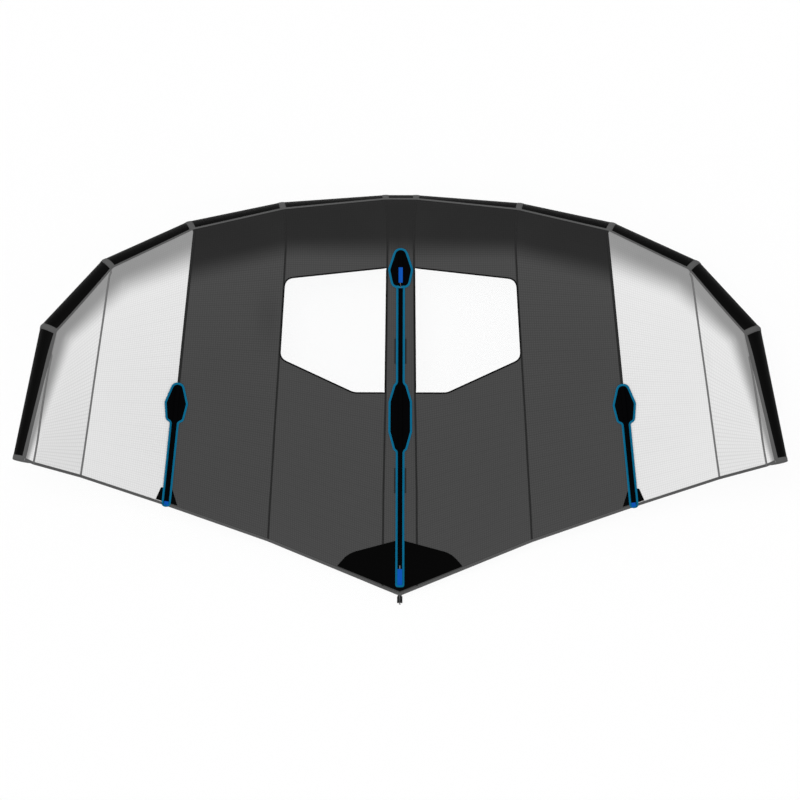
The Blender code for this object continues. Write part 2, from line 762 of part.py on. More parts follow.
def build_end_patch(name, side):
    """The reinforcement under a side batten's rear end, its base along the trailing edge."""
    columns = [canopy_column(stop) for stop in (2.5, 2.75, 3, 3.25, 3.5)]
    layer = cloth(name, columns, BLACK_PATCH, lift=LAYER_LIFT, thick=PATCH, side=side)
    rear = rear_point(3)
    top = plan_on_column(canopy_column(3), rear.y + END_PATCH_LENGTH)
    clear = HEM_DEPTH * 1.2
    outline = []
    for near, way in ((rear_point(2), -1), (rear_point(4), 1)):
        lean = (rear.y - near.y) / (rear.x - near.x)
        base = (rear.x + way * END_PATCH_BASE, rear.y + way * END_PATCH_BASE * lean + clear, False)
        shoulder = (top.x + way * END_PATCH_TOP, top.y, True)
        outline += [base, shoulder] if way < 0 else [shoulder, base]
    outline.append((rear.x, rear.y + clear, False))
    corners = [(x * side, y, is_round) for x, y, is_round in outline]
    edge = prism(f"{name}_edge", rounded(corners, SPOT_PATCH_ROUND), -GAP, LE_RADIUS * 4)
    boolean(layer, edge, "INTERSECT")


def build_corner_patch():
    """The reinforcement on the rear corner, cut from a layer of the canopy's own shape."""
    half = [canopy_column(stop) for stop in (0, 1, 1.25, 1.5, 1.75, 2)]
    left = [[sided(point, -1) for point in column] for column in reversed(half[1:])]
    layer = cloth("trailing_corner_patch", left + half, BLACK_PATCH, lift=LAYER_LIFT, thick=PATCH)
    clear = HEM_DEPTH + LAYER_GAP
    lean = (rear_point(2).y - rear_point(0).y) / rear_point(2).x
    end_y = CORNER_Y + CORNER_PATCH_END_X * lean + clear
    right = (
        (CORNER_PATCH_END_X, end_y, False),
        (CORNER_PATCH_SHOULDER_X, CORNER_Y + CORNER_PATCH_SHOULDER, True),
        (0.0, CORNER_Y + CORNER_PATCH_APEX, True),
    )
    corners = list(right) + [(-x, y, is_round) for x, y, is_round in reversed(right[:2])]
    corners.append((0.0, CORNER_Y + clear * 1.5, False))
    edge = prism("corner_patch_edge", rounded(corners, CORNER_PATCH_ROUND), -GAP, LE_RADIUS * 2)
    boolean(layer, edge, "INTERSECT")


# Turned pieces, their profiles run down the outer side, top to bottom
def turned(name, profile, surface, parent, place, sides=24, closed=True):
    bm = bmesh.new()
    points = [bm.verts.new((radius, 0, z)) for radius, z in profile]
    for a, b in zip(points, points[1:]):
        bm.edges.new((a, b))
    if closed:
        bm.edges.new((points[-1], points[0]))
    mesh = bpy.data.meshes.new(name)
    bm.to_mesh(mesh)
    bm.free()
    made = add_object(name, mesh, surface, parent, place)
    screw = made.modifiers.new("turn", "SCREW")
    screw.steps = sides
    screw.render_steps = sides
    screw.use_merge_vertices = True
    screw.merge_threshold = 0.00001
    return made


def pipe(name, outer, inner, start, end, surface, parent, place, sides=24):
    profile = ((outer, end), (outer, start), (inner, start), (inner, end))
    return turned(name, profile, surface, parent, place, sides)


def cylinder(name, radius, length, surface, parent, place, sides=24):
    """A plain round bar along its own Z, centred."""
    bm = bmesh.new()
    bmesh.ops.create_cone(
        bm, cap_ends=True, segments=sides, radius1=radius, radius2=radius, depth=length
    )
    return from_bmesh(name, bm, surface, parent, place)


def block(name, size, centre, surface, parent, bevel=0.0):
    bm = bmesh.new()
    bmesh.ops.create_cube(bm, size=1.0)
    bmesh.ops.scale(bm, vec=size, verts=bm.verts)
    made = from_bmesh(name, bm, surface, parent, Matrix.Translation(centre))
    if bevel:
        soft = made.modifiers.new("edges", "BEVEL")
        soft.width = bevel
        soft.segments = 2
    return made


def plate_outline(name, outline, thick, surface, parent, place):
    """A flat outline as a filled 2D curve, extruded to its thickness."""
    curve = bpy.data.curves.new(name, "CURVE")
    curve.dimensions = "2D"
    curve.fill_mode = "BOTH"
    curve.extrude = thick / 2
    spline = curve.splines.new("POLY")
    spline.points.add(len(outline) - 1)
    for point, (x, y) in zip(spline.points, outline):
        point.co = (x, y, 0, 1)
    spline.use_cyclic_u = True
    made = add_object(name, curve, surface, parent, place)
    bpy.context.view_layer.update()
    mesh = bpy.data.meshes.new_from_object(made.evaluated_get(bpy.context.evaluated_depsgraph_get()))
    bm = bmesh.new()
    bm.from_mesh(mesh)
    bmesh.ops.remove_doubles(bm, verts=bm.verts, dist=0.00001)
    bpy.data.objects.remove(made)
    return from_bmesh(name, bm, surface, parent, place)


def join(target, piece):
    boolean(target, as_cutter(piece), "UNION")


# Frames of the boom
def pin_place():
    centre = RINGS[0][0]
    turn = math.radians(MOUNT_ANGLE)
    reach = LE_RADIUS + PIN_STANDOFF
    return Vector((0, centre.y + reach * math.cos(turn), centre.z + reach * math.sin(turn)))


def boom_line():
    """Length and drop angle of the boom: it ends a set reach behind the canopy's rear corner."""
    pin = pin_place()
    level = pin.y - CORNER_Y + TAIL_REACH
    drop = pin.z - TAIL_REST_Z
    return math.hypot(level, drop), math.atan2(drop, level)


BOOM_LENGTH, BOOM_TURN = boom_line()
FRONT_TUBE_END = BOOM_LENGTH * FRONT_TUBE_SHARE
TAIL_TUBE_START = FRONT_TUBE_END - TUBE_OVERLAP
TAIL_TUBE_END = BOOM_LENGTH - TAIL_TUBE_SETBACK


def empty(name, place, parent=None):
    made = bpy.data.objects.new(name, None)
    PARTS.objects.link(made)
    made.parent = parent
    made.matrix_local = place
    return made


REARWARD = Matrix.Rotation(math.radians(90), 4, "X")
ACROSS = Matrix.Rotation(math.radians(90), 4, "Y")


def build_mount():
    centre = RINGS[0][0]
    inner = LE_RADIUS + LAYER_GAP
    steps = 8
    sections = []
    for x in (-PLATE_WIDTH / 2, PLATE_WIDTH / 2):
        points = []
        for lift, order in ((0.0, range(steps + 1)), (PLATE_THICK, range(steps, -1, -1))):
            for i in order:
                angle = math.radians(MOUNT_ANGLE + PLATE_ARC * (i / steps - 0.5))
                reach = inner + lift
                points.append(Vector((x, centre.y + reach * math.cos(angle), centre.z + reach * math.sin(angle))))
        sections.append(points)
    plate = loft("boom_mount_plate", sections, BLACK_PLASTIC)
    soft = plate.modifiers.new("edges", "BEVEL")
    soft.width = PLATE_THICK / 4
    soft.limit_method = "ANGLE"
    pin = pin_place()
    inward = math.atan2(centre.z - pin.z, centre.y - pin.y)
    base = PIN_STANDOFF - LAYER_GAP - PLATE_THICK / 2
    lug_shape = []
    for i in range(13):
        angle = math.radians(90 + 180 * i / 12)
        lug_shape.append((EYE_RADIUS * math.cos(angle), EYE_RADIUS * math.sin(angle)))
    lug_shape.append((base, -EYE_RADIUS * 1.5))
    lug_shape.append((base, EYE_RADIUS * 1.5))
    for name, side in SIDES:
        x = side * (EYE_WIDTH / 2 + GAP * 2 + LUG_THICK / 2)
        turn = Matrix(((0, 0, 1), (1, 0, 0), (0, 1, 0))).to_4x4()
        place = Matrix.Translation((x, pin.y, pin.z)) @ Matrix.Rotation(inward, 4, "X") @ turn
        join(plate, plate_outline(f"lug_{name}", lug_shape, LUG_THICK, BLACK_PLASTIC, None, place))
    hole = cylinder("lug_hole", PIN_RADIUS + GAP, PLATE_WIDTH, BLACK_PLASTIC, None, Matrix.Translation(pin) @ ACROSS)
    boolean(plate, as_cutter(hole))


def build_boom():
    pin = pin_place()
    pivot = empty("boom_pivot", Matrix.Translation(pin) @ Matrix.Rotation(BOOM_TURN, 4, "X"))
    whole_pin = EYE_WIDTH + GAP * 4 + LUG_THICK * 2 + PIN_RADIUS
    pin_bar = cylinder("boom_head_pin", PIN_RADIUS, whole_pin, STEEL, None, Matrix.Translation(pin) @ ACROSS)
    flange = cylinder(
        "pin_flange", PIN_RADIUS * 1.7, PIN_RADIUS / 2, STEEL, None,
        Matrix.Translation(pin + Vector((whole_pin / 2, 0, 0))) @ ACROSS,
    )
    join(pin_bar, flange)
    head_profile = (
        (HEAD_RADIUS, HEAD_END),
        (HEAD_RADIUS, FRONT_TUBE_START * 0.9),
        (EYE_WIDTH / 2, EYE_RADIUS * 1.3),
        (FRONT_TUBE_RADIUS * 0.4, EYE_RADIUS * 1.3),
        (FRONT_TUBE_RADIUS * 0.4, FRONT_TUBE_START - GAP),
        (FRONT_TUBE_RADIUS + GAP, FRONT_TUBE_START - GAP),
        (FRONT_TUBE_RADIUS + GAP, HEAD_END),
    )
    head = turned("boom_head", head_profile, BLACK_PLASTIC, pivot, REARWARD)
    eye = cylinder("head_eye", EYE_RADIUS, EYE_WIDTH, BLACK_PLASTIC, pivot, ACROSS)
    neck = block(
        "head_neck", (EYE_WIDTH, FRONT_TUBE_START * 0.8, EYE_RADIUS * 1.7),
        Vector((0, -FRONT_TUBE_START * 0.44, 0)), BLACK_PLASTIC, pivot,
    )
    join(head, eye)
    join(head, neck)
    bore = cylinder("head_bore", PIN_RADIUS + GAP, PLATE_WIDTH, BLACK_PLASTIC, pivot, ACROSS)
    boolean(head, as_cutter(bore))
    inner = FRONT_TUBE_RADIUS - FRONT_TUBE_WALL
    pipe("boom_front_tube", FRONT_TUBE_RADIUS, inner, FRONT_TUBE_START, FRONT_TUBE_END, ALLOY, pivot, REARWARD)
    collar_start = FRONT_TUBE_END + GAP * 4 + COLLAR_LIP - COLLAR_LENGTH
    grip_start = HEAD_END + GAP
    grip_end = collar_start - GAP
    grip_profile = (
        (GRIP_RADIUS - GRIP_END_ROUND, grip_end),
        (GRIP_RADIUS, grip_end - GRIP_END_ROUND),
        (GRIP_RADIUS, grip_start + GRIP_END_ROUND),
        (GRIP_RADIUS - GRIP_END_ROUND, grip_start),
        (FRONT_TUBE_RADIUS + GAP, grip_start),
        (FRONT_TUBE_RADIUS + GAP, grip_end),
    )
    grip_profile = tuple((max(radius, FRONT_TUBE_RADIUS + GAP * 3) if i < 4 else radius, z)
                         for i, (radius, z) in enumerate(grip_profile))
    turned("boom_grip", grip_profile, FOAM, pivot, REARWARD)
    build_clamp(pivot, collar_start)
    build_tail(pivot)


def build_clamp(pivot, start):
    step = FRONT_TUBE_END + GAP
    end = start + COLLAR_LENGTH
    profile = (
        (COLLAR_RADIUS * 0.85, end),
        (COLLAR_RADIUS, end - GRIP_END_ROUND),
        (COLLAR_RADIUS, start + GRIP_END_ROUND),
        (COLLAR_RADIUS * 0.92, start),
        (FRONT_TUBE_RADIUS + GAP, start),
        (FRONT_TUBE_RADIUS + GAP, step),
        (TAIL_TUBE_RADIUS + GAP, step),
        (TAIL_TUBE_RADIUS + GAP, end),
    )
    collar = turned("clamp_collar", profile, BLACK_PLASTIC, pivot, REARWARD)
    hinge_y = -(end - EAR_LENGTH / 2)
    hinge_x = COLLAR_RADIUS + EAR_LENGTH / 2
    gap = LEVER_HEIGHT / 2 + GAP
    for name, up in (("upper", 1), ("lower", -1)):
        centre = Vector((hinge_x - COLLAR_RADIUS / 4, hinge_y, up * (gap + EAR_THICK / 2)))
        join(collar, block(f"ear_{name}", (EAR_LENGTH, EAR_LENGTH, EAR_THICK), centre, BLACK_PLASTIC, pivot))
    pin_centre = Matrix.Translation((hinge_x, hinge_y, 0))
    hinge = empty("lever_hinge", pin_centre, pivot)
    boolean(collar, as_cutter(cylinder("ear_hole", LEVER_PIN_RADIUS + GAP, COLLAR_RADIUS * 2, STEEL, hinge, None, 16)))
    cylinder("clamp_lever_pin", LEVER_PIN_RADIUS, (gap + EAR_THICK) * 2, STEEL, hinge, None, 16)
    boss = LEVER_THICK * 0.75
    outline = []
    for i in range(9):
        angle = math.radians(-180 + 180 * i / 8)
        outline.append((boss * math.cos(angle), boss * math.sin(angle)))
    outline.append((boss * 1.2, LEVER_LENGTH * 0.5))
    outline.append((boss * 2.2, LEVER_LENGTH))
    outline.append((boss * 1.1, LEVER_LENGTH))
    outline.append((-boss * 0.4, LEVER_LENGTH * 0.45))
    lever = plate_outline("clamp_lever", outline, LEVER_HEIGHT, BLACK_PLASTIC, hinge, Matrix.Identity(4))
    boolean(lever, as_cutter(cylinder("lever_hole", LEVER_PIN_RADIUS + GAP, LEVER_HEIGHT * 2, STEEL, hinge, None, 16)))


def build_tail(pivot):
    inner = TAIL_TUBE_RADIUS - TAIL_TUBE_WALL
    pipe("boom_tail_tube", TAIL_TUBE_RADIUS, inner, TAIL_TUBE_START, TAIL_TUBE_END, ALLOY, pivot, REARWARD)
    block_front = BOOM_LENGTH - TAIL_BLOCK_LENGTH
    block_centre = Vector((0, -(BOOM_LENGTH - TAIL_BLOCK_LENGTH / 2), 0))
    size = (TAIL_BLOCK_WIDTH, TAIL_BLOCK_LENGTH, TAIL_BLOCK_HEIGHT)
    end = block("boom_tail_end", size, block_centre, BLACK_PLASTIC, pivot)
    plug_start = TAIL_TUBE_END - TAIL_BLOCK_LENGTH
    neck_profile = (
        (TAIL_NECK_WIDTH / 2, block_front + GAP),
        (TAIL_NECK_WIDTH / 2, TAIL_TUBE_END + TAIL_NECK_WIDTH / 4),
        (TAIL_TUBE_RADIUS, TAIL_TUBE_END + GAP * 4),
        (TAIL_TUBE_RADIUS, TAIL_TUBE_END + GAP),
        (inner - GAP, TAIL_TUBE_END + GAP),
        (inner - GAP, plug_start),
        (inner / 3, plug_start),
        (inner / 3, block_front + GAP),
    )
    join(end, turned("tail_neck", neck_profile, BLACK_PLASTIC, pivot, REARWARD, 16))
    slot_floor = Vector((0, block_centre.y, TAIL_BLOCK_HEIGHT / 2))
    slot = block("tail_slot", (TAIL_SLOT, TAIL_BLOCK_LENGTH * 2, TAIL_BLOCK_HEIGHT * 0.9), slot_floor, BLACK_PLASTIC, pivot)
    boolean(end, as_cutter(slot))


def build_outhaul():
    """A short line from the rear corner that drops into the tail end's fork, with its stopper behind."""
    pin = pin_place()
    turn = BOOM_TURN
    rear = Vector((0, pin.y - math.cos(turn) * BOOM_LENGTH, pin.z - math.sin(turn) * BOOM_LENGTH))
    corner = canopy_column(0)[-1]
    knot = rear + Vector((0, -KNOT_RADIUS - GAP, TAIL_BLOCK_HEIGHT * 0.18))
    top = Vector((0, corner.y - HEM_THICK * 2 - LINE_RADIUS - GAP, corner.z + LINE_RADIUS))
    curve = bpy.data.curves.new("outhaul", "CURVE")
    curve.dimensions = "3D"
    curve.bevel_depth = LINE_RADIUS
    curve.bevel_resolution = 2
    curve.use_fill_caps = True
    spline = curve.splines.new("POLY")
    front = Vector((0, rear.y + TAIL_BLOCK_LENGTH, knot.z))
    route = (top, top.lerp(front, 0.5), front + Vector((0, 0, LINE_RADIUS)), knot)
    spline.points.add(len(route) - 1)
    for point, place in zip(spline.points, route):
        point.co = (*place, 1)
    made = add_object("outhaul_curve", curve, LINE)
    bpy.context.view_layer.update()
    mesh = bpy.data.meshes.new_from_object(made.evaluated_get(bpy.context.evaluated_depsgraph_get()))
    bm = bmesh.new()
    bm.from_mesh(mesh)
    bmesh.ops.remove_doubles(bm, verts=bm.verts, dist=0.00001)
    bpy.data.objects.remove(made)
    line = from_bmesh("outhaul_line", bm, LINE)
    bm = bmesh.new()
    bmesh.ops.create_uvsphere(bm, u_segments=12, v_segments=8, radius=KNOT_RADIUS)
    join(line, from_bmesh("knot", bm, LINE, None, Matrix.Translation(knot)))


# Valve
def valve_hole():
    frame = valve_frame()
    return as_cutter(cylinder("valve_hole", VALVE_RADIUS + GAP, VALVE_DEPTH * 4, STEEL, None, frame, 32))


def build_valve():
    frame = empty("valve_frame", valve_frame())
    seat_top = -VALVE_DEPTH / 2
    profile = (
        (VALVE_RADIUS * 0.92, VALVE_PROUD),
        (VALVE_RADIUS, VALVE_PROUD * 0.6),
        (VALVE_RADIUS, -VALVE_DEPTH),
        (VALVE_SEAT, -VALVE_DEPTH),
        (VALVE_SEAT, seat_top - VALVE_SEAT_THICK),
        (VALVE_SEAT, seat_top),
        (VALVE_BORE, seat_top),
        (VALVE_BORE, VALVE_PROUD),
    )
    turned("valve_base", profile, BLACK_PLASTIC, frame, Matrix.Identity(4), 32)
    head_top = VALVE_PROUD - CAP_THICK / 4
    button = (
        (0.0, head_top),
        (BUTTON_RADIUS, head_top),
        (BUTTON_RADIUS, head_top - BUTTON_THICK),
        (STEM_RADIUS, head_top - BUTTON_THICK),
        (STEM_RADIUS, -VALVE_DEPTH - BUTTON_THICK),
        (0.0, -VALVE_DEPTH - BUTTON_THICK),
    )
    turned("valve_button", button, BLACK_PLASTIC, frame, Matrix.Identity(4), 24, closed=False)
    cap_low = VALVE_PROUD + GAP
    hinge = empty("cap_hinge", Matrix.Translation((0, CAP_RADIUS + CAP_ARM, cap_low + CAP_THICK / 2)), frame)
    cap = (
        (0.0, cap_low + CAP_THICK),
        (CAP_RADIUS * 0.9, cap_low + CAP_THICK),
        (CAP_RADIUS, cap_low + CAP_THICK * 0.7),
        (CAP_RADIUS, cap_low),
        (0.0, cap_low),
    )
    back = Matrix.Translation((0, -CAP_RADIUS - CAP_ARM, -cap_low - CAP_THICK / 2))
    lid = turned("valve_cap", cap, BLACK_PLASTIC, hinge, back, 32, closed=False)
    arm_size = (CAP_ARM * 1.6, CAP_ARM * 1.8, CAP_THICK * 0.6)
    arm_centre = Vector((0, -CAP_ARM * 0.7, 0))
    join(lid, block("cap_arm", arm_size, arm_centre, BLACK_PLASTIC, hinge))


# Front handle
def across_tube(x, angle, lift):
    """A point on the tube at this distance from the middle, on either side."""
    side = -1 if x < 0 else 1
    middle = RINGS[1][0].x
    distance = abs(x)
    if distance <= middle:
        where = distance / middle
    else:
        where = 1 + (distance - middle) / (RINGS[2][0].x - middle)
    return sided(tube_point(where, angle, lift), side)


def handle_strap(name, stops, lift_of, thick, width, surface):
    sections = []
    spread = math.degrees(width / 2 / LE_RADIUS)
    for x in stops:
        low = lift_of(x)
        points = [across_tube(x, HANDLE_ANGLE + turn, low) for turn in (-spread, spread)]
        points += [across_tube(x, HANDLE_ANGLE + turn, low + thick) for turn in (spread, -spread)]
        sections.append(points)
    return loft(name, sections, surface)


def handle_lift(x):
    """Flat feet at both ends, then a smooth rise to the grip."""
    foot = GAP
    share = (HANDLE_HALF - HANDLE_FOOT - abs(x)) / HANDLE_SLOPE
    share = min(1.0, max(0.0, share))
    return lerp(foot, HANDLE_STANDOFF, share * share * (3 - 2 * share))


def build_handle():
    half = HANDLE_HALF
    bend = RINGS[1][0].x
    rise = [half - HANDLE_FOOT - HANDLE_SLOPE * i / 4 for i in range(5)]
    right = sorted({half, bend, *rise}, reverse=True)
    stops = [-x for x in right] + list(reversed(right))
    handle_strap("handle_webbing", stops, handle_lift, WEBBING, WEBBING_WIDTH, BLACK_PATCH)
    pad = HANDLE_PAD_HALF
    stops = sorted({-pad, -min(bend, pad), min(bend, pad), pad})
    lift = HANDLE_STANDOFF + WEBBING + GAP
    handle_strap("handle_pad", stops, lambda x: lift, HANDLE_PAD_THICK, WEBBING_WIDTH * 1.1, FOAM)


build_tube()
build_canopy()
build_battens()
build_mount()
build_boom()
build_outhaul()
build_valve()
build_handle()
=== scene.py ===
"""Wingfoil wing dressed for rendering: tube cloth, sewn canopy, windows, battens, boom and handle."""

import math

import bmesh
import bpy
from bpy.props import FloatProperty, FloatVectorProperty, PointerProperty
from bpy.types import Operator, Panel, PropertyGroup
from mathutils import Matrix, Vector, noise
from mathutils.bvhtree import BVHTree


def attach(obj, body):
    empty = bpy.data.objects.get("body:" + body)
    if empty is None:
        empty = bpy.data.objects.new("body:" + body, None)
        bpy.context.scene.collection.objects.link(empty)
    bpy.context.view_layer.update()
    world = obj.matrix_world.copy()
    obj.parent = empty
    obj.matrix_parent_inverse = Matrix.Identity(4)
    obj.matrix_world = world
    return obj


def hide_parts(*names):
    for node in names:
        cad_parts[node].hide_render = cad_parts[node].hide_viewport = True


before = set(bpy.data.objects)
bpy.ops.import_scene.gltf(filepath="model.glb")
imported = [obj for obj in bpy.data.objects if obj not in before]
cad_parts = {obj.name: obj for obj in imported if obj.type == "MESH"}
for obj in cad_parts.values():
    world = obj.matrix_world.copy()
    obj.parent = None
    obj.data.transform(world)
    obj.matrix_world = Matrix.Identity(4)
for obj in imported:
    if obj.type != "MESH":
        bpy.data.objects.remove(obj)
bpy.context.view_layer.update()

bl_info = {
    "name": "Wingfoil wing",
    "version": (1, 0, 0),
    "blender": (4, 5, 0),
    "location": "3D View > Sidebar > Wing",
    "description": "Builds the cloth, film, seams and fittings of an inflatable wing",
    "category": "Object",
}

# The wing's shape, in metres and degrees, as the solids have it
# Stations run from 0 at the middle to 6 at the tip
HALF_SPAN = 1.545
FRONT_Y = 0.819
SWEEP = 1.060
TIP_RISE = 0.285
LE_RADIUS = 0.105
SPAN_SHARES = (0.0, 0.0405, 0.310, 0.551, 0.770, 0.929, 1.0)
SWEEP_SHARES = (0.0, 0.0, 0.029, 0.103, 0.248, 0.498, 1.0)
RISE_SHARES = (0.0, 0.0, 0.081, 0.235, 0.509, 0.842, 1.0)
RADIUS_SHARES = (1.0, 1.0, 0.933, 0.838, 0.695, 0.524, 0.362)
SEAM_ANGLES = (33.0, 33.0, 44.0, 53.0, 69.0, 97.0, 103.0)
LEAVE_ANGLES = (60.0, 60.0, 60.0, 62.0, 76.0, 104.0, 110.0)
CORNER_Y = -0.778
CORNER_Z = 0.045
REAR_SWEEP = 0.530
REAR_RISE = 0.375
REAR_SPAN_SHARES = (0.0, 0.0447, 0.3417, 0.6058, 0.8265, 0.9463)
REAR_SWEEP_SHARES = (0.0, 0.054, 0.411, 0.668, 0.900, 0.985)
REAR_RISE_SHARES = (0.0, 0.008, 0.108, 0.309, 0.645, 1.0)
FRONT_HANDLE_SHARE = 0.25
REAR_HANDLE_SHARE = 0.30
REAR_SLOPE = 0.12

# What the sewn cloth adds: where seams start on the tube, shifts of the rear edge, and how seams bow sideways
SEAM_STARTS = ((0, 0), (3, 3), (4, 4.04), (4.9, 5), (5, 5.17), (6, 6))
REAR_SHIFTS = (0.0045, 0.0050, 0.0060, 0.0, 0.0110, 0.0045)
SEAM_BOWS = (
    (0.0, 0.0, 0.0, 0.0, 0.0, 0.0, 0.0, 0.0, 0.0),
    (-0.0030, -0.0068, -0.0066, -0.0060, -0.0050, -0.0022, 0.0, 0.0, 0.0),
    (-0.0040, -0.0125, -0.0125, -0.0105, -0.0080, -0.0050, -0.0033, -0.0010, 0.0),
    (0.0, 0.0, 0.0, 0.0, 0.0, 0.0, 0.0, 0.0, 0.0),
    (0.0064, 0.0060, 0.0044, 0.0034, 0.0026, 0.0014, 0.0, -0.0012, -0.0018),
    (0.0, 0.0020, 0.0030, 0.0032, 0.0026, 0.0010, -0.0012, -0.0012, -0.0004),
)
BOW_STEPS = len(SEAM_BOWS[0]) - 1
TIP_MARGIN = 0.003
CROWDING = 1.45
WRAP_ROWS = 4
CHORD_ROWS = 12
ROWS = WRAP_ROWS + CHORD_ROWS

# Layers of cloth and the gaps between them
GAP = 0.0003
LAYER_GAP = 0.0004
CASING = 0.0010
CLOTH = 0.0008
TAPE_WALL = 0.0005
TAPE_TOP = 0.0011
CANOPY_LIFT = TAPE_TOP + LAYER_GAP
TUBE_SIDES = 24
LE_AXIS_Z = (LE_RADIUS + TAPE_TOP) * math.cos(math.pi / TUBE_SIDES)
SKIN = CLOTH + GAP

# Windows, valve, handle and boom
WINDOW_CORNERS = ((0.0, 0.528), (1.0, 0.484), (1.0, 0.164), (0.187, 0.028), (0.0, 0.028))
WINDOW_MARGIN = 0.002
WINDOW_ROUND = 0.042
VALVE_STATION = 1.45
VALVE_ANGLE = 195.0
VALVE_RADIUS = 0.0210
HANDLE_ANGLE = -45.0
HANDLE_HALF = 0.160
HANDLE_FOOT = 0.030
HANDLE_SLOPE = 0.045
HANDLE_STANDOFF = 0.0200
HANDLE_PAD_HALF = 0.070
MOUNT_ANGLE = 197.0
PIN_STANDOFF = 0.032
TAIL_REACH = 0.0336
TAIL_REST_Z = 0.0130
SIDES = (("left", -1), ("right", 1))


def lerp(a, b, share):
    return a + (b - a) * share


def share_at(values, where):
    """The value between two entries of a row, at a place counted in entries."""
    k = min(int(where), len(values) - 2)
    return lerp(values[k], values[k + 1], where - k)


def smooth(share):
    """Eases a share from 0 to 1, and holds it there outside."""
    share = min(1.0, max(0.0, share))
    return share * share * (3 - 2 * share)


def sided(point, side):
    return Vector((point.x * side, point.y, point.z))


# The tube
def outer_joint(k):
    return Vector((HALF_SPAN * SPAN_SHARES[k], FRONT_Y - SWEEP * SWEEP_SHARES[k], TIP_RISE * RISE_SHARES[k]))


def tube_ring(k):
    """Centre, outward, up and radius of the ring at a joint; rings lie in the mitre planes."""
    joints = [outer_joint(i) for i in range(len(SPAN_SHARES))]
    after = (joints[k + 1] - joints[k]).normalized() if k + 1 < len(joints) else None
    before = (joints[k] - joints[k - 1]).normalized() if k else Vector((1, 0, 0))
    after = before if after is None else after
    along = (before + after).normalized()
    outward = Vector((-along.y, along.x, 0)).normalized()
    up = along.cross(outward).normalized()
    stretch = 1 / along.dot(before)
    radius = LE_RADIUS * RADIUS_SHARES[k]
    centre = joints[k] - outward * radius * stretch + Vector((0, 0, LE_AXIS_Z))
    return centre, outward * stretch, up, radius


RINGS = [tube_ring(k) for k in range(len(SPAN_SHARES))]
LAST = len(RINGS) - 1


def ring_point(k, angle, lift):
    centre, outward, up, radius = RINGS[k]
    turn = math.radians(angle)
    return centre + (outward * math.cos(turn) + up * math.sin(turn)) * (radius + lift)


def tube_point(where, angle, lift=0.0):
    """A point of the right half of the tube at a station, an angle and a lift off the cloth."""
    k = min(int(where), LAST - 1)
    return ring_point(k, angle, lift).lerp(ring_point(k + 1, angle, lift), where - k)


def panel_length(k):
    return (RINGS[k + 1][0] - RINGS[k][0]).length


def across_tube(x, angle, lift):
    """A point on the tube this far from the middle, to either side."""
    middle = RINGS[1][0].x
    distance = abs(x)
    if distance <= middle:
        where = distance / middle
    else:
        where = 1 + (distance - middle) / (RINGS[2][0].x - middle)
    return sided(tube_point(where, angle, lift), -1 if x < 0 else 1)


def valve_frame():
    """Place of the valve: its own Z points out of the tube."""
    apex = tube_point(VALVE_STATION, VALVE_ANGLE)
    k = int(VALVE_STATION)
    along = (RINGS[k + 1][0] - RINGS[k][0]).normalized()
    centre = RINGS[k][0].lerp(RINGS[k + 1][0], VALVE_STATION - k)
    out = (apex - centre).normalized()
    across = out.cross(along).normalized()
    turn = Matrix((across.cross(out), across, out)).transposed().to_4x4()
    return Matrix.Translation(apex) @ turn


def boom_frame():
    """Place of the boom's head pin: the boom runs along its own -Y."""
    turn = math.radians(MOUNT_ANGLE)
    reach = LE_RADIUS + PIN_STANDOFF
    centre = RINGS[0][0]
    pin = Vector((0, centre.y + reach * math.cos(turn), centre.z + reach * math.sin(turn)))
    level = pin.y - CORNER_Y + TAIL_REACH
    drop = pin.z - TAIL_REST_Z
    place = Matrix.Translation(pin) @ Matrix.Rotation(math.atan2(drop, level), 4, "X")
    return place, math.hypot(level, drop)


# The canopy
def rear_point(where):
    x = HALF_SPAN * share_at(REAR_SPAN_SHARES, where)
    y = CORNER_Y + REAR_SWEEP * share_at(REAR_SWEEP_SHARES, where) - share_at(REAR_SHIFTS, where)
    z = CORNER_Z + REAR_RISE * share_at(REAR_RISE_SHARES, where)
    return Vector((x, y, z))


def tube_station(where):
    """The place along the tube where the canopy line of a station begins."""
    for (a, start), (b, end) in zip(SEAM_STARTS, SEAM_STARTS[1:]):
        if where <= b:
            return lerp(start, end, (where - a) / (b - a))
    return float(LAST)


def chord_curve(where):
    """The four handles of the canopy's curve behind the tube, with the station it has on the tube."""
    on_tube = tube_station(where)
    start = tube_point(on_tube, share_at(LEAVE_ANGLES, on_tube), CANOPY_LIFT)
    end = rear_point(where)
    flat = Vector((end.x - start.x, end.y - start.y, 0))
    length = flat.length
    ahead = flat.normalized()
    k = min(int(on_tube), LAST - 1)
    normal = start - RINGS[k][0].lerp(RINGS[k + 1][0], on_tube - k)
    slope = -ahead.dot(normal) / normal.z
    tip = RINGS[LAST][0] - RINGS[LAST - 1][0]
    slope = lerp(slope, tip.z / math.hypot(tip.x, tip.y), max(0.0, where - LAST + 2))
    near = start + (ahead + Vector((0, 0, slope))) * length * FRONT_HANDLE_SHARE
    far = end - (ahead - Vector((0, 0, REAR_SLOPE))) * length * REAR_HANDLE_SHARE
    return start, near, far, end, on_tube


CURVES = {}


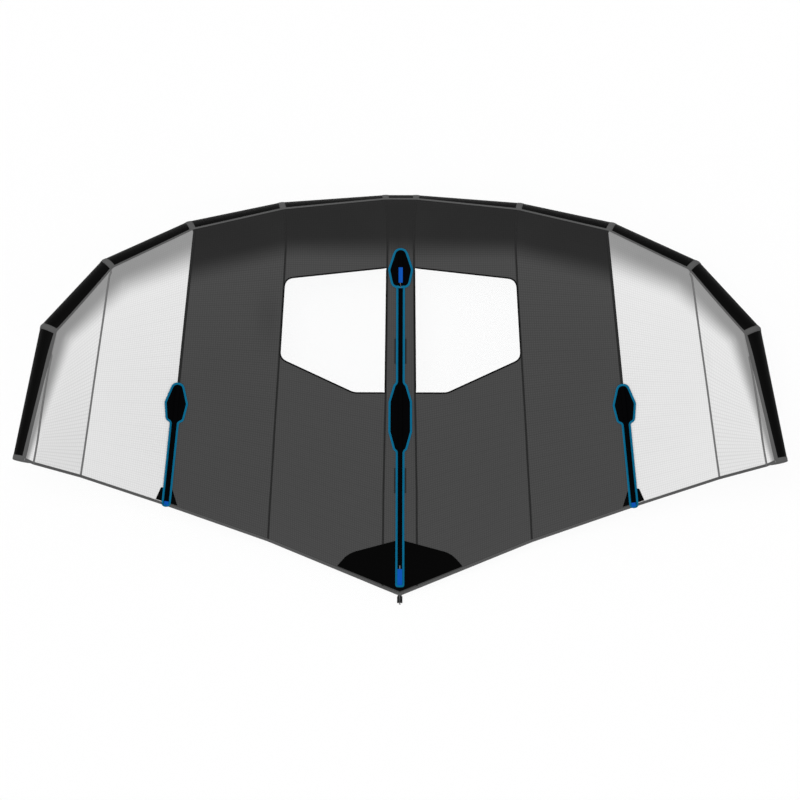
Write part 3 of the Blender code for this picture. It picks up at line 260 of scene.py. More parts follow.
def column_point(where, row):
    """A point on the line that runs back from station where, by its row from 0 at the tube seam."""
    key = round(where, 6)
    if key not in CURVES:
        CURVES[key] = chord_curve(where)
    a, b, c, d, on_tube = CURVES[key]
    if row < WRAP_ROWS:
        angle = lerp(share_at(SEAM_ANGLES, on_tube), share_at(LEAVE_ANGLES, on_tube), row / WRAP_ROWS)
        return tube_point(on_tube, angle, CANOPY_LIFT)
    share = ((row - WRAP_ROWS) / CHORD_ROWS) ** CROWDING
    rest = 1 - share
    point = a * rest**3 + b * (3 * rest * rest * share) + c * (3 * rest * share * share) + d * share**3
    k = min(int(where), LAST - 2)
    bows = [share_at(SEAM_BOWS[i], share * BOW_STEPS) for i in (k, k + 1)]
    point.x += lerp(*bows, where - k) * smooth((row - WRAP_ROWS) / 1.2)
    return point


def tip_point(row):
    """The last line of the canopy follows its seam along the tube's tip panel."""
    model = column_point(LAST - 1, row).xy - column_point(LAST - 1, 0).xy
    whole = column_point(LAST - 1, ROWS).xy - column_point(LAST - 1, 0).xy
    where = lerp(tube_station(LAST - 1), LAST, model.length / whole.length)
    where = min(where, LAST - TIP_MARGIN / panel_length(LAST - 1))
    return tube_point(where, share_at(SEAM_ANGLES, where), CANOPY_LIFT)


SWELL = 0.0035
CREASE = 0.0010
TUG = 0.0014


def billow(where, row, point, side):
    """Slack of the sewn cloth: each panel stands a little proud between its seams, with faint creases."""
    back = smooth((row - WRAP_ROWS) / 3) * smooth((ROWS - row) / 1.5)
    across = math.sin(math.pi * (where % 1.0)) if where < LAST - 1 else 0.0
    swell = SWELL * across * back
    crease = noise.noise(Vector((point.x * 9 * side, point.y * 2.2, 0.7))) * CREASE
    tug = noise.noise(Vector((where * 34 * side, 0.3, 2.1))) * TUG * smooth((9 - row) / 6)
    return (swell + (crease + tug) * back) * smooth((LAST - 1 - where) * 4)


def canopy_point(where, row, side=1):
    """Underside of the canopy at a station and a row of one half."""
    if where <= LAST - 1:
        point = column_point(where, row)
        return sided(point + Vector((0, 0, billow(where, row, point, side))), side)
    return sided(column_point(LAST - 1, row).lerp(tip_point(row), where - LAST + 1), side)


# Materials
def linear(value):
    """A screen value from 0 to 1 as the light that it stands for."""
    return value / 12.92 if value <= 0.04045 else ((value + 0.055) / 1.055) ** 2.4


def from_screen(red, green, blue):
    return tuple(linear(v / 255) for v in (red, green, blue))


def math_node(tree, operation, first, second=0.0, clamp=False):
    """A calculation on two numbers or sockets of a node tree."""
    node = tree.nodes.new("ShaderNodeMath")
    node.operation = operation
    node.use_clamp = clamp
    for socket, value in zip(node.inputs, (first, second)):
        if isinstance(value, (int, float)):
            socket.default_value = value
        else:
            tree.links.new(value, socket)
    return node.outputs[0]


class Nodes:
    """A small helper that adds nodes to one material and wires them."""

    def __init__(self, name, roughness, metallic=0.0, specular=0.3):
        self.material = bpy.data.materials.new(name)
        self.material.use_nodes = True
        self.tree = self.material.node_tree
        self.shader = self.tree.nodes["Principled BSDF"]
        self.shader.inputs["Roughness"].default_value = roughness
        self.shader.inputs["Metallic"].default_value = metallic
        self.shader.inputs["Specular IOR Level"].default_value = specular

    def add(self, kind, **values):
        node = self.tree.nodes.new(kind)
        for key, value in values.items():
            setattr(node, key, value)
        return node

    def wire(self, source, target):
        self.tree.links.new(source, target)

    def math(self, operation, first, second=0.0, clamp=False):
        return math_node(self.tree, operation, first, second, clamp)

    def times(self, first, second):
        return self.math("MULTIPLY", first, second)

    def plus(self, first, second):
        return self.math("ADD", first, second)

    def minus(self, first, second):
        return self.math("SUBTRACT", first, second)

    def most(self, first, second):
        return self.math("MAXIMUM", first, second)

    def mix(self, share, first, second):
        """A colour between two, by a share."""
        node = self.add("ShaderNodeMix", data_type="RGBA")
        for socket, value in zip((node.inputs[0], node.inputs[6], node.inputs[7]), (share, first, second)):
            if isinstance(value, (int, float)):
                socket.default_value = value
            elif isinstance(value, tuple):
                socket.default_value = (*value, 1.0)
            else:
                self.wire(value, socket)
        return node.outputs[2]

    def uv(self, name="UVMap"):
        """Distances across and along the piece's own map, and both together."""
        node = self.add("ShaderNodeUVMap", uv_map=name)
        split = self.add("ShaderNodeSeparateXYZ")
        self.wire(node.outputs[0], split.inputs[0])
        return split.outputs[0], split.outputs[1], node.outputs[0]

    def place(self):
        return self.add("ShaderNodeTexCoord").outputs["Object"]

    def noise(self, vector, scale, detail=3.0, stretch=None):
        if stretch:
            mapping = self.add("ShaderNodeMapping")
            mapping.inputs["Scale"].default_value = stretch
            self.wire(vector, mapping.inputs[0])
            vector = mapping.outputs[0]
        node = self.add("ShaderNodeTexNoise")
        node.inputs["Scale"].default_value = scale
        node.inputs["Detail"].default_value = detail
        self.wire(vector, node.inputs["Vector"])
        return node.outputs[0]

    def lines(self, value, pitch, width):
        """1 on a line of this width in every pitch, 0 between."""
        wave = self.math("PINGPONG", value, pitch / 2)
        return self.math("DIVIDE", self.minus(width, wave), width, True)

    def ramp(self, value, low, high):
        """0 below the low value, 1 above the high one, smooth between."""
        node = self.add("ShaderNodeMapRange", interpolation_type="SMOOTHSTEP")
        node.inputs["From Min"].default_value = low
        node.inputs["From Max"].default_value = high
        self.wire(value, node.inputs["Value"])
        return node.outputs[0]

    def bump(self, height, strength, distance):
        node = self.add("ShaderNodeBump")
        node.inputs["Strength"].default_value = strength
        node.inputs["Distance"].default_value = distance
        self.wire(height, node.inputs["Height"])
        self.wire(node.outputs[0], self.shader.inputs["Normal"])

    def colour(self, value):
        self.wire(value, self.shader.inputs["Base Color"])


def dim(colour, share):
    """The same colour, darker or lighter by a share."""
    return tuple(v * share for v in colour)


def ripstop(name, colour, shaded, edge_low, edge_high, pitch, contrast):
    """Canopy cloth: fine square ripstop, a soft shade behind the tube, and creases that catch the light."""
    made = Nodes(name, 0.62, specular=0.05)
    across, along, where = made.uv()
    thread = pitch * 0.2
    grid = made.most(made.lines(across, pitch, thread), made.lines(along, pitch, thread))
    wide = made.lines(along, pitch * 5, pitch * 0.35)
    grid = made.most(grid, made.times(wide, 0.75))
    behind, painted_fold_shade, _ = made.uv("Shade")
    lit = made.ramp(behind, edge_low, edge_high)
    ground = made.mix(lit, shaded, colour)
    cloud = made.noise(where, 2.4, 4.0)
    ground = made.mix(made.times(made.ramp(cloud, 0.35, 0.75), 0.10), ground, dim(colour, 0.80))
    # painted shade of two faint folds: the cloth darkens where the Shade map's second value is high
    ground = made.mix(made.times(painted_fold_shade, 0.5), ground, dim(colour, 0.45))
    made.colour(made.mix(made.times(grid, contrast), ground, dim(shaded, 0.55)))
    crease = made.noise(where, 3.0, 3.0, (1.0, 6.0, 1.0))
    made.bump(made.plus(made.times(grid, 0.25), crease), 0.30, 0.0012)
    return made.material


STITCH_HALF = 0.0007
STITCH_LENGTH = 0.0017
STITCH_STEP = 0.0025


def woven(name, colour, pitch, roughness=0.7, stitches=(), thread=None, specular=0.05):
    """Tape, webbing or patch cloth with its weave, and rows of stitching at these distances across it."""
    made = Nodes(name, roughness, specular=specular)
    across, along, where = made.uv()
    yarn = pitch * 0.35
    weave = made.times(made.lines(across, pitch, yarn), made.lines(along, pitch, yarn))
    cloud = made.noise(where, 14.0, 4.0)
    ground = made.mix(made.times(cloud, 0.35), colour, dim(colour, 0.65))
    ground = made.mix(made.times(weave, 0.45), ground, dim(colour, 0.4))
    height = weave
    for row in stitches:
        near = made.math("LESS_THAN", made.math("ABSOLUTE", made.minus(across, row)), STITCH_HALF)
        dash = made.math("LESS_THAN", made.math("PINGPONG", along, STITCH_STEP), STITCH_LENGTH)
        stitch = made.times(near, dash)
        ground = made.mix(stitch, ground, thread or dim(colour, 2.2))
        height = made.plus(height, made.times(stitch, 2.0))
    made.colour(ground)
    made.bump(height, 0.35, 0.0005)
    return made.material


def moulded(name, colour, roughness=0.45, metallic=0.0, scale=420.0):
    """Moulded plastic, anodised or turned metal: a fine grain with handling marks."""
    made = Nodes(name, roughness, metallic, specular=0.2)
    grain = made.noise(made.place(), scale, 2.0)
    marks = made.noise(made.place(), 22.0, 5.0)
    made.colour(made.mix(made.times(made.ramp(marks, 0.5, 0.8), 0.4), colour, dim(colour, 1.6)))
    rough = made.plus(made.times(marks, 0.25), roughness - 0.1)
    made.wire(rough, made.shader.inputs["Roughness"])
    made.bump(grain, 0.25, 0.0003)
    return made.material


def clear_film(name):
    """Window film: nearly clear, with a soft sheen, faintly creased."""
    made = Nodes(name, 0.32, specular=0.1)
    _, _, where = made.uv()
    fold = made.noise(where, 5.0, 3.0)
    made.shader.inputs["Alpha"].default_value = 0.03
    made.colour(made.mix(made.times(fold, 0.2), (0.80, 0.82, 0.84), (0.70, 0.73, 0.76)))
    made.bump(fold, 0.12, 0.0015)
    return made.material


def foam(name, colour):
    """Closed-cell foam with a pressed diamond pattern for grip."""
    made = Nodes(name, 0.88, specular=0.2)
    across, along, where = made.uv()
    one = made.lines(made.plus(across, along), 0.012, 0.0016)
    other = made.lines(made.minus(across, along), 0.012, 0.0016)
    groove = made.most(one, other)
    cells = made.noise(where, 900.0, 2.0)
    made.colour(made.mix(made.times(groove, 0.6), colour, dim(colour, 0.3)))
    height = made.minus(made.times(cells, 0.3), groove)
    made.bump(height, 0.6, 0.0008)
    return made.material


class WingColours(PropertyGroup):
    """Colours of the cloth, tapes and fittings."""

    def tint(label, text, value):
        return FloatVectorProperty(
            name=label, description=text, subtype="COLOR", size=3, min=0, max=1, default=value,
        )

    tube: tint("Tube cloth", "Inflated leading edge", from_screen(4, 4, 4))
    dark: tint("Dark cloth", "Middle of the canopy", from_screen(72, 72, 72))
    dark_shade: tint("Shaded dark cloth", "Middle of the canopy behind the tube", from_screen(38, 38, 38))
    pale: tint("Pale cloth", "Outer canopy panels", from_screen(229, 229, 229))
    pale_shade: tint("Shaded pale cloth", "Outer panels behind the tube", from_screen(143, 143, 143))
    tape: tint("Grey tape", "Joint tapes, seam tape and hem", from_screen(91, 91, 91))
    seam_dark: tint("Dark seam", "Seams of the dark cloth", from_screen(33, 33, 33))
    seam_grey: tint("Grey seam", "Seams of the pale cloth", from_screen(122, 122, 122))
    patch: tint("Reinforcement", "Black sewn-on patches", from_screen(5, 5, 5))
    spot: tint("Hidden reinforcement", "Patches under the centre sleeve", from_screen(44, 44, 44))
    sleeve: tint("Sleeve cloth", "Batten sleeves and their pads", from_screen(3, 3, 4))
    binding: tint("Edge binding", "Tape round the batten sleeves", from_screen(4, 109, 147))
    tag: tint("Batten tags", "Webbing tags on the sleeves", from_screen(4, 84, 182))
    plastic: tint("Plastic", "Moulded fittings", from_screen(22, 22, 24))
    alloy: tint("Boom tube", "Anodised tube", from_screen(44, 44, 47))
    grip: tint("Grip foam", "Foam on the boom and the handle", from_screen(36, 36, 38))


class WingSizes(PropertyGroup):
    """Sizes that the dressing adds to the solids."""

    def size(label, text, value):
        return FloatProperty(name=label, description=text, unit="LENGTH", min=0.0001, default=value)

    joint_tape: size("Joint tape", "Width of the tape across the tube's joints", 0.024)
    seam_tape: size("Seam tape", "Width of the tape along the tube, seen from above", 0.0075)
    seam: size("Seam", "Width of the folded canopy seams", 0.0078)
    hem: size("Hem", "Width of the folded trailing edge", 0.0105)
    binding: size("Binding", "Width of the tape round the sleeves", 0.0080)
    window_edge: size("Window edge", "Width of the windows' black edge tape", 0.0062)
    ripstop: size("Ripstop pitch", "Distance between the grid threads", 0.009)
    tag: size("Tag width", "Width of the batten tags", 0.0195)


FINISHES = {}


def make_finishes(colours, sizes):
    """Every finish by the name its pieces use."""

    def tint(key):
        return tuple(getattr(colours, key))

    joint_rows = (0.003 - sizes.joint_tape / 2, sizes.joint_tape / 2 - 0.003)
    seam_rows = (-0.002, 0.002)
    FINISHES.update(
        tube=woven("tube cloth", tint("tube"), 0.0012, 0.5, specular=0.03),
        dark=ripstop("dark ripstop", tint("dark"), tint("dark_shade"), 0.74, 1.42, sizes.ripstop, 0.36),
        pale=ripstop("pale ripstop", tint("pale"), tint("pale_shade"), 0.28, 1.14, sizes.ripstop, 0.20),
        tape=woven("grey tape", tint("tape"), 0.0011, 0.7),
        joint=woven("joint tape", tint("tape"), 0.0011, 0.7, joint_rows, dim(tint("tape"), 0.6)),
        seam_dark=woven("dark seam", tint("seam_dark"), 0.0010, 0.7, seam_rows, dim(tint("seam_dark"), 2.5)),
        seam_grey=woven("grey seam", tint("seam_grey"), 0.0010, 0.7, seam_rows, dim(tint("seam_grey"), 0.5)),
        hem=woven("hem tape", tint("tape"), 0.0011, 0.7, (0.006,), dim(tint("tape"), 0.4)),
        patch=woven("black patch cloth", tint("patch"), 0.0016, 0.65, specular=0.012),
        spot=woven("hidden patch cloth", tint("spot"), 0.0016, 0.7),
        sleeve=woven("sleeve cloth", tint("sleeve"), 0.0013, 0.7, specular=0.012),
        binding=woven("binding tape", tint("binding"), 0.0009, 0.6, (0.0,), dim(tint("binding"), 0.5)),
        tag=woven("tag webbing", tint("tag"), 0.0014, 0.55),
        edge=woven("window edge tape", tint("patch"), 0.0010, 0.6),
        webbing=woven("handle webbing", tint("sleeve"), 0.0018, 0.7, (-0.008, 0.008), (0.03, 0.03, 0.03)),
        film=clear_film("window film"),
        bladder=moulded("bladder film", (0.5, 0.52, 0.5), 0.35, 0.0, 60.0),
        rod=moulded("glass fibre rod", (0.7, 0.68, 0.52), 0.4, 0.0, 300.0),
        plastic=moulded("moulded black plastic", tint("plastic"), 0.45),
        block=moulded("matt black plastic", tint("patch"), 0.6),
        alloy=moulded("anodised boom tube", tint("alloy"), 0.35, 0.85, 600.0),
        steel=moulded("stainless pin", (0.55, 0.55, 0.56), 0.28, 1.0, 500.0),
        foam=foam("grip foam", tint("grip")),
        line=woven("braided line", (0.2, 0.2, 0.21), 0.0009, 0.75),
    )


# Mesh helpers
def mesh_from(bm, name):
    mesh = bpy.data.meshes.new(name)
    bm.to_mesh(mesh)
    bm.free()
    return mesh


def add_object(name, data):
    made = bpy.data.objects.new(name, data)
    bpy.context.scene.collection.objects.link(made)
    return made


def finish_piece(name, bm, finish, nodes=(), body="wing", wall=0.0):
    """Turns a bmesh into a piece that rides on a body and stands for CAD nodes."""
    mesh = mesh_from(bm, name)
    for polygon in mesh.polygons:
        polygon.use_smooth = True
    mesh.materials.append(FINISHES[finish])
    piece = add_object(name, mesh)
    if wall:
        shell = piece.modifiers.new("wall", "SOLIDIFY")
        shell.thickness = wall
        shell.offset = -1.0
        plain_mesh(piece)
    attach(piece, body)
    if nodes:
        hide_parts(*nodes)
    return piece


def mapped(columns, rows, place, uv_of, weld=False, shade_of=None):
    """A grid carried to place(u, v, lift), with its own map in metres and its face sides outwards."""
    bm = bmesh.new()
    bmesh.ops.create_grid(bm, x_segments=columns, y_segments=rows, size=0.5)
    spots = {v: (v.co.x + 0.5, v.co.y + 0.5) for v in bm.verts}
    layers = [(bm.loops.layers.uv.new("UVMap"), uv_of)]
    if shade_of:
        layers.append((bm.loops.layers.uv.new("Shade"), shade_of))
    for layer, measure in layers:
        known = {v: measure(*spot) for v, spot in spots.items()}
        for face in bm.faces:
            for loop in face.loops:
                loop[layer].uv = known[loop.vert]
    for v, spot in spots.items():
        v.co = place(*spot, 0.0)
    bm.normal_update()

    def off_middle(face):
        return sum(abs(share - 0.5) for v in face.verts for share in spots[v])

    middle = min(bm.faces, key=off_middle)
    spot = spots[middle.verts[0]]
    if middle.normal.dot(place(*spot, 0.001) - place(*spot, 0.0)) < 0:
        bmesh.ops.reverse_faces(bm, faces=bm.faces)
    if weld:
        bmesh.ops.remove_doubles(bm, verts=bm.verts, dist=0.000002)
    return bm


SHARP_EDGE = 38


def plain_mesh(piece):
    """Applies a piece's modifiers to its mesh, and keeps its corners crisp."""
    graph = bpy.context.evaluated_depsgraph_get()
    mesh = bpy.data.meshes.new_from_object(piece.evaluated_get(graph))
    piece.modifiers.clear()
    piece.data = mesh
    mesh.set_sharp_from_angle(angle=math.radians(SHARP_EDGE))


def cut_piece(piece, bm, operation="DIFFERENCE"):
    """Cuts a piece with a closed bmesh and leaves no cutter behind."""
    bmesh.ops.recalc_face_normals(bm, faces=bm.faces)
    cutter = add_object("cutter", mesh_from(bm, "cutter"))
    cut = piece.modifiers.new("cut", "BOOLEAN")
    cut.operation = operation
    cut.solver = "EXACT"
    cut.object = cutter
    bpy.context.view_layer.update()
    plain_mesh(piece)
    bpy.data.objects.remove(cutter)


def standing_prism(outline, low, high):
    """A closed upright prism over a plan outline."""
    bm = bmesh.new()
    ring = [bm.verts.new((x, y, low)) for x, y in outline]
    base = bm.faces.new(ring)
    raised = bmesh.ops.extrude_face_region(bm, geom=[base])
    top = [v for v in raised["geom"] if isinstance(v, bmesh.types.BMVert)]
    bmesh.ops.translate(bm, verts=top, vec=(0, 0, high - low))
    return bm


def rounded_outline(corners, radius, steps=6):
    """A plan outline with its marked corners rounded; corners are (x, y, radius share)."""
    found = []
    for i, (x, y, share) in enumerate(corners):
        here = Vector((x, y))
        before = Vector(corners[i - 1][:2]) - here
        after = Vector(corners[(i + 1) % len(corners)][:2]) - here
        reach = radius * share
        if not reach:
            found.append(here)
            continue
        half = before.angle(after) / 2
        back = min(reach / math.tan(half), before.length / 2, after.length / 2)
        start = here + before.normalized() * back
        end = here + after.normalized() * back
        for step in range(steps + 1):
            t = step / steps
            found.append(start.lerp(here, t).lerp(here.lerp(end, t), t))
    return found


def close_ends(bm):
    """Fills a tube's open ends and turns its faces outwards."""
    bmesh.ops.holes_fill(bm, edges=[edge for edge in bm.edges if edge.is_boundary])
    bmesh.ops.recalc_face_normals(bm, faces=bm.faces)


def picked(section, share):
    """The entry of a section at a share of the way along it."""
    return section[round(share * (len(section) - 1))]


def path_lengths(path):
    """Distances along a path at its points, and all round where it closes."""
    lengths = [0.0]
    for a, b in zip(path, path[1:] + path[:1]):
        lengths.append(lengths[-1] + (b - a).length)
    return lengths


def heading(path, i, closed):
    """A path's point and the way the path runs there."""
    here = path[i % len(path)]
    before = path[i - 1] if i or closed else here
    after = path[(i + 1) % len(path)] if i < len(path) - 1 or closed else here
    return here, (after - before).normalized()


def refined(path, step, closed=False):
    """The same plan path with points no further apart than step."""
    ends = path[1:] + path[:1] if closed else path[1:]
    found = []
    for a, b in zip(path, ends):
        count = max(1, math.ceil((b - a).length / step))
        found += [a.lerp(b, i / count) for i in range(count)]
    return found if closed else found + [path[-1]]


# The canopy's surface: rows from front to rear, and columns in each step between stations
SHEET_ROWS = 84
SHEET_COLUMNS = 10


def signed_point(station, row, lift=0.0):
    """Canopy point for a station from -6 at the left tip to 6 at the right."""
    return canopy_point(abs(station), row, -1 if station < 0 else 1) + Vector((0, 0, lift))


def canopy_tree():
    """The canopy's upper side from tip to tip, for laying pieces on it."""
    count = 2 * LAST * SHEET_COLUMNS
    stations = [-LAST + i / SHEET_COLUMNS for i in range(count + 1)]
    rows = [ROWS * j / SHEET_ROWS for j in range(SHEET_ROWS + 1)]
    points = [signed_point(round(s, 6), row, CLOTH) for s in stations for row in rows]
    faces = []
    wide = len(rows)
    for i in range(count):
        for j in range(SHEET_ROWS):
            a = i * wide + j
            faces.append((a, a + 1, a + wide + 1, a + wide))
    return BVHTree.FromPolygons(points, faces)


TREE = []


def on_canopy(x, y, lift):
    """The point over the canopy's upper side at this place in plan."""
    if not TREE:
        TREE.append(canopy_tree())
    found, normal, _, _ = TREE[0].ray_cast(Vector((x, y, 1.0)), Vector((0, 0, -1)))
    if found is None:
        near, normal, _, _ = TREE[0].find_nearest(Vector((x, y, 0.1)))
        return Vector((x, y, near.z + lift))
    if normal.z < 0:
        normal = -normal
    return found + normal * lift


def ribbon(name, path, half, section, finish, nodes=(), closed=False, wall=TAPE_WALL, over=None):
    """A strip laid along a plan path.

    Its section lists (share of half, height), and over gives the height of what it lies on.
    """
    count = len(path) if closed else len(path) - 1
    lengths = path_lengths(path)

    def place(u, v, lift):
        here, ahead = heading(path, round(u * count), closed)
        share, height = picked(section, v)
        spot = here + Vector((ahead.y, -ahead.x)) * half * share
        return on_canopy(spot.x, spot.y, height + lift + (over(spot) if over else 0.0))

    def measure(u, v):
        return picked(section, v)[0] * half, lengths[round(u * count)]

    bm = mapped(count, len(section) - 1, place, measure, weld=closed)
    finish_piece(name, bm, finish, nodes, wall=wall)


def laid_patch(name, outline, lift, finish, node, cell=0.012):
    """A flat patch cut to a convex plan outline and laid on the canopy."""
    low = Vector((min(p.x for p in outline), min(p.y for p in outline)))
    high = Vector((max(p.x for p in outline), max(p.y for p in outline)))
    size = high - low
    bm = bmesh.new()
    across = max(2, math.ceil(size.x / cell))
    along = max(2, math.ceil(size.y / cell))
    bmesh.ops.create_grid(bm, x_segments=across, y_segments=along, size=0.5)
    bmesh.ops.scale(bm, verts=bm.verts, vec=(size.x, size.y, 1))
    middle = (low + high) / 2
    bmesh.ops.translate(bm, verts=bm.verts, vec=(middle.x, middle.y, 0))
    centre = sum(outline, Vector((0, 0))) / len(outline)
    for a, b in zip(outline, outline[1:] + outline[:1]):
        outward = Vector((b.y - a.y, a.x - b.x, 0))
        if outward.xy.dot(a - centre) < 0:
            outward = -outward
        if outward.length < GAP:
            continue
        bmesh.ops.bisect_plane(
            bm, geom=bm.verts[:] + bm.edges[:] + bm.faces[:], dist=0.00001,
            plane_co=(a.x, a.y, 0), plane_no=outward, clear_outer=True,
        )
    layer = bm.loops.layers.uv.new("UVMap")
    for face in bm.faces:
        for loop in face.loops:
            loop[layer].uv = loop.vert.co.xy
    for v in bm.verts:
        v.co = on_canopy(v.co.x, v.co.y, lift)
    bmesh.ops.remove_doubles(bm, verts=bm.verts, dist=0.00005)
    bm.normal_update()
    if sum(face.normal.z for face in bm.faces) < 0:
        bmesh.ops.reverse_faces(bm, faces=bm.faces)
    finish_piece(name, bm, finish, (node,), wall=CLOTH)


def station_path(station, first_row, last_row, step=0.01):
    """The plan line of a seam, as points from front to rear that are at least a step apart."""
    points = []
    count = 120
    for i in range(count + 1):
        point = signed_point(station, lerp(first_row, last_row, i / count)).xy
        if not points or (point - points[-1]).length > step:
            points.append(point)
    return points


def seam_x(station, y):
    """Distance across at which a seam passes this distance along, found by halving."""
    low, high = 0.0, float(ROWS)
    for _ in range(24):
        row = (low + high) / 2
        if signed_point(station, row).y > y:
            low = row
        else:
            high = row
    return signed_point(station, low).x


# Tube pieces: the gathers along their sewn ends, and how far short of its ring the last one ends
PUCKER = 0.0008
PUCKER_REACH = 0.022
PUCKERS = 18
TIP_GAP = 0.01


def tube_wall(name, start, end, side, node, rows=20):
    """A length of the tube between two stations, gathered a little at its sewn ends."""
    length = panel_length(min(int(start), LAST - 1)) * (end - start)

    def share(v):
        return 0.5 - 0.5 * math.cos(math.pi * v)

    def place(u, v, rise):
        where = lerp(start, end, share(v))
        near = min(share(v), 1 - share(v)) * length
        gather = PUCKER * abs(math.sin(math.pi * PUCKERS * u)) * math.exp(-near / PUCKER_REACH)
        point = tube_point(abs(where), 360.0 * u, rise - gather)
        return sided(point, -side if where < 0 else side)

    def measure(u, v):
        return share(v) * length, u * 2 * math.pi * LE_RADIUS

    bm = mapped(72, rows, place, measure, weld=True)
    return finish_piece(name, bm, "tube", (node,), wall=CASING)


def valve_cutter():
    """A round plug for the hole in the casing that the valve goes through."""
    bm = bmesh.new()
    radius = VALVE_RADIUS + GAP
    bmesh.ops.create_cone(bm, cap_ends=True, segments=48, radius1=radius, radius2=radius, depth=0.05)
    bmesh.ops.transform(bm, matrix=valve_frame(), verts=bm.verts)
    return bm


def make_tube():
    tube_wall("tube_cloth_center", -1.0, 1.0, 1, "le_panel_center", rows=10)
    for side_name, side in SIDES:
        for k in range(1, LAST):
            end = k + 1 - (TIP_GAP if k == LAST - 1 else 0.0)
            panel = tube_wall(f"tube_cloth_{k}_{side_name}", float(k), end, side, f"le_panel_{k}_{side_name}")
            if k == int(VALVE_STATION) and side > 0:
                cut_piece(panel, valve_cutter())


def make_joint_tapes(width):
    """The tapes over the tube's joints, stitched along both edges, which are a little lower."""
    for side_name, side in SIDES:
        for k in range(1, LAST):

            def place(u, v, rise):
                reach = (v - 0.5) * width
                where = k + reach / panel_length(k - 1 if reach < 0 else k)
                top = TAPE_TOP - 0.0005 * abs(2 * v - 1) ** 6
                return sided(tube_point(where, 360.0 * u, top + rise), side)

            def measure(u, v):
                return (v - 0.5) * width, u * 2 * math.pi * LE_RADIUS

            bm = mapped(96, 8, place, measure, weld=True)
            node = f"le_panel_{k}_{side_name}"
            finish_piece(f"joint_tape_{k}_{side_name}", bm, "joint", (node,), wall=0.0007)


# The front tape ends just before the tip; from this station on it reaches further out
SEAM_TAPE_END = LAST - 0.02
TIP_TAPE_START = 4.9
TIP_TAPE_EXTRA = 0.007


def make_seam_tape(width):
    """The tape that closes the canopy's front edge against the tube, wider on the tip panels."""
    for side_name, side in SIDES:

        def place(u, v, rise):
            where = SEAM_TAPE_END * u
            angle = share_at(SEAM_ANGLES, where)
            lean = max(0.5, math.sin(math.radians(min(angle, 90.0))))
            radius = LE_RADIUS * share_at(RADIUS_SHARES, where)
            half = math.degrees(width / lean / 2 / radius)
            outer = half + math.degrees(TIP_TAPE_EXTRA * smooth((where - TIP_TAPE_START) / 0.3) / radius)
            lift = lerp(TAPE_TOP + 0.0006, CANOPY_LIFT + SKIN + 0.0007, smooth(v * 1.5))
            return sided(tube_point(where, angle + lerp(-outer, half, v), lift + rise), side)

        def measure(u, v):
            return (v - 0.5) * width * 1.6, u * HALF_SPAN * 1.3

        bm = mapped(220, 6, place, measure)
        finish_piece(f"canopy_seam_tape_{side_name}", bm, "tape", wall=TAPE_WALL)


def make_tip_caps():
    """Sewn cups over the ends of the tube, with a gathered rim and a flat end.

    The section lists how far a row lies beyond the tip's ring, and its lift off the casing.
    """
    length = panel_length(LAST - 1)
    dome = LE_RADIUS * RADIUS_SHARES[LAST]
    section = (
        (-0.0190, 0.0), (-0.0188, 0.0006), (-0.0160, 0.0007), (-0.0060, 0.0007), (-0.0025, 0.0003),
        (-0.0008, -0.0012), (0.0, -0.0040), (0.0006, -dome * 0.3), (0.0010, -dome * 0.7),
        (0.0010, -dome * 0.999),
    )
    for side_name, side in SIDES:

        def place(u, v, rise):
            beyond, lift = picked(section, v)
            lift += TAPE_TOP - 0.0007
            gather = 0.0006 * math.sin(2 * math.pi * PUCKERS * u)
            lift += gather * smooth(-lift / dome * 4) * smooth(1 + lift / dome)
            if lift > -dome / 2:
                lift += rise
            return sided(tube_point(LAST + beyond / length, 360.0 * u, lift), side)

        def measure(u, v):
            return (v - 0.5) * 0.05, u * 2 * math.pi * dome

        bm = mapped(72, len(section) - 1, place, measure, weld=True)
        bmesh.ops.remove_doubles(bm, verts=bm.verts, dist=0.0003)
        finish_piece(f"tip_cap_cloth_{side_name}", bm, "tape", (f"tip_cap_{side_name}",), wall=0.0006)


# Canopy sheets: how far the shade behind the tube reaches at each joint, and the painted shade of two faint
# folds
SHADE_DEPTHS = (0.190, 0.190, 0.150, 0.160, 0.128, 0.080, 0.022)
# painted shade of two faint folds, each as x, y, two half sizes and a strength
PAINTED_FOLD_SHADES = ((-0.525, 0.335, 0.045, 0.100, 0.55), (1.225, 0.160, 0.010, 0.100, 0.16))


def behind_tube(point):
    """Plan distance behind the tube seam, as a share of how deep the shade is there."""
    here = Vector((abs(point.x), point.y))
    best = 10.0
    for k in range(LAST):
        a = tube_point(k, SEAM_ANGLES[k]).xy
        b = tube_point(k + 1, SEAM_ANGLES[k + 1]).xy
        share = min(1.0, max(0.0, (here - a).dot(b - a) / (b - a).length_squared))
        depth = lerp(SHADE_DEPTHS[k], SHADE_DEPTHS[k + 1], share)
        best = min(best, (here - a.lerp(b, share)).length / depth)
    return best


def painted_fold_shade(point):
    """Strength of the painted fold shade at a place in plan; each fold has a place, two half sizes and a
    strength.
    """
    total = 0.0
    for x, y, wide, long, strength in PAINTED_FOLD_SHADES:
        away = ((point.x - x) / wide) ** 2 + ((point.y - y) / long) ** 2
        total += strength * math.exp(-away)
    return total


def column_lengths(station):
    """Distances back along the cloth at a station, one for each row of the sheet."""
    return path_lengths([signed_point(station, ROWS * i / SHEET_ROWS) for i in range(SHEET_ROWS + 1)])[:-1]


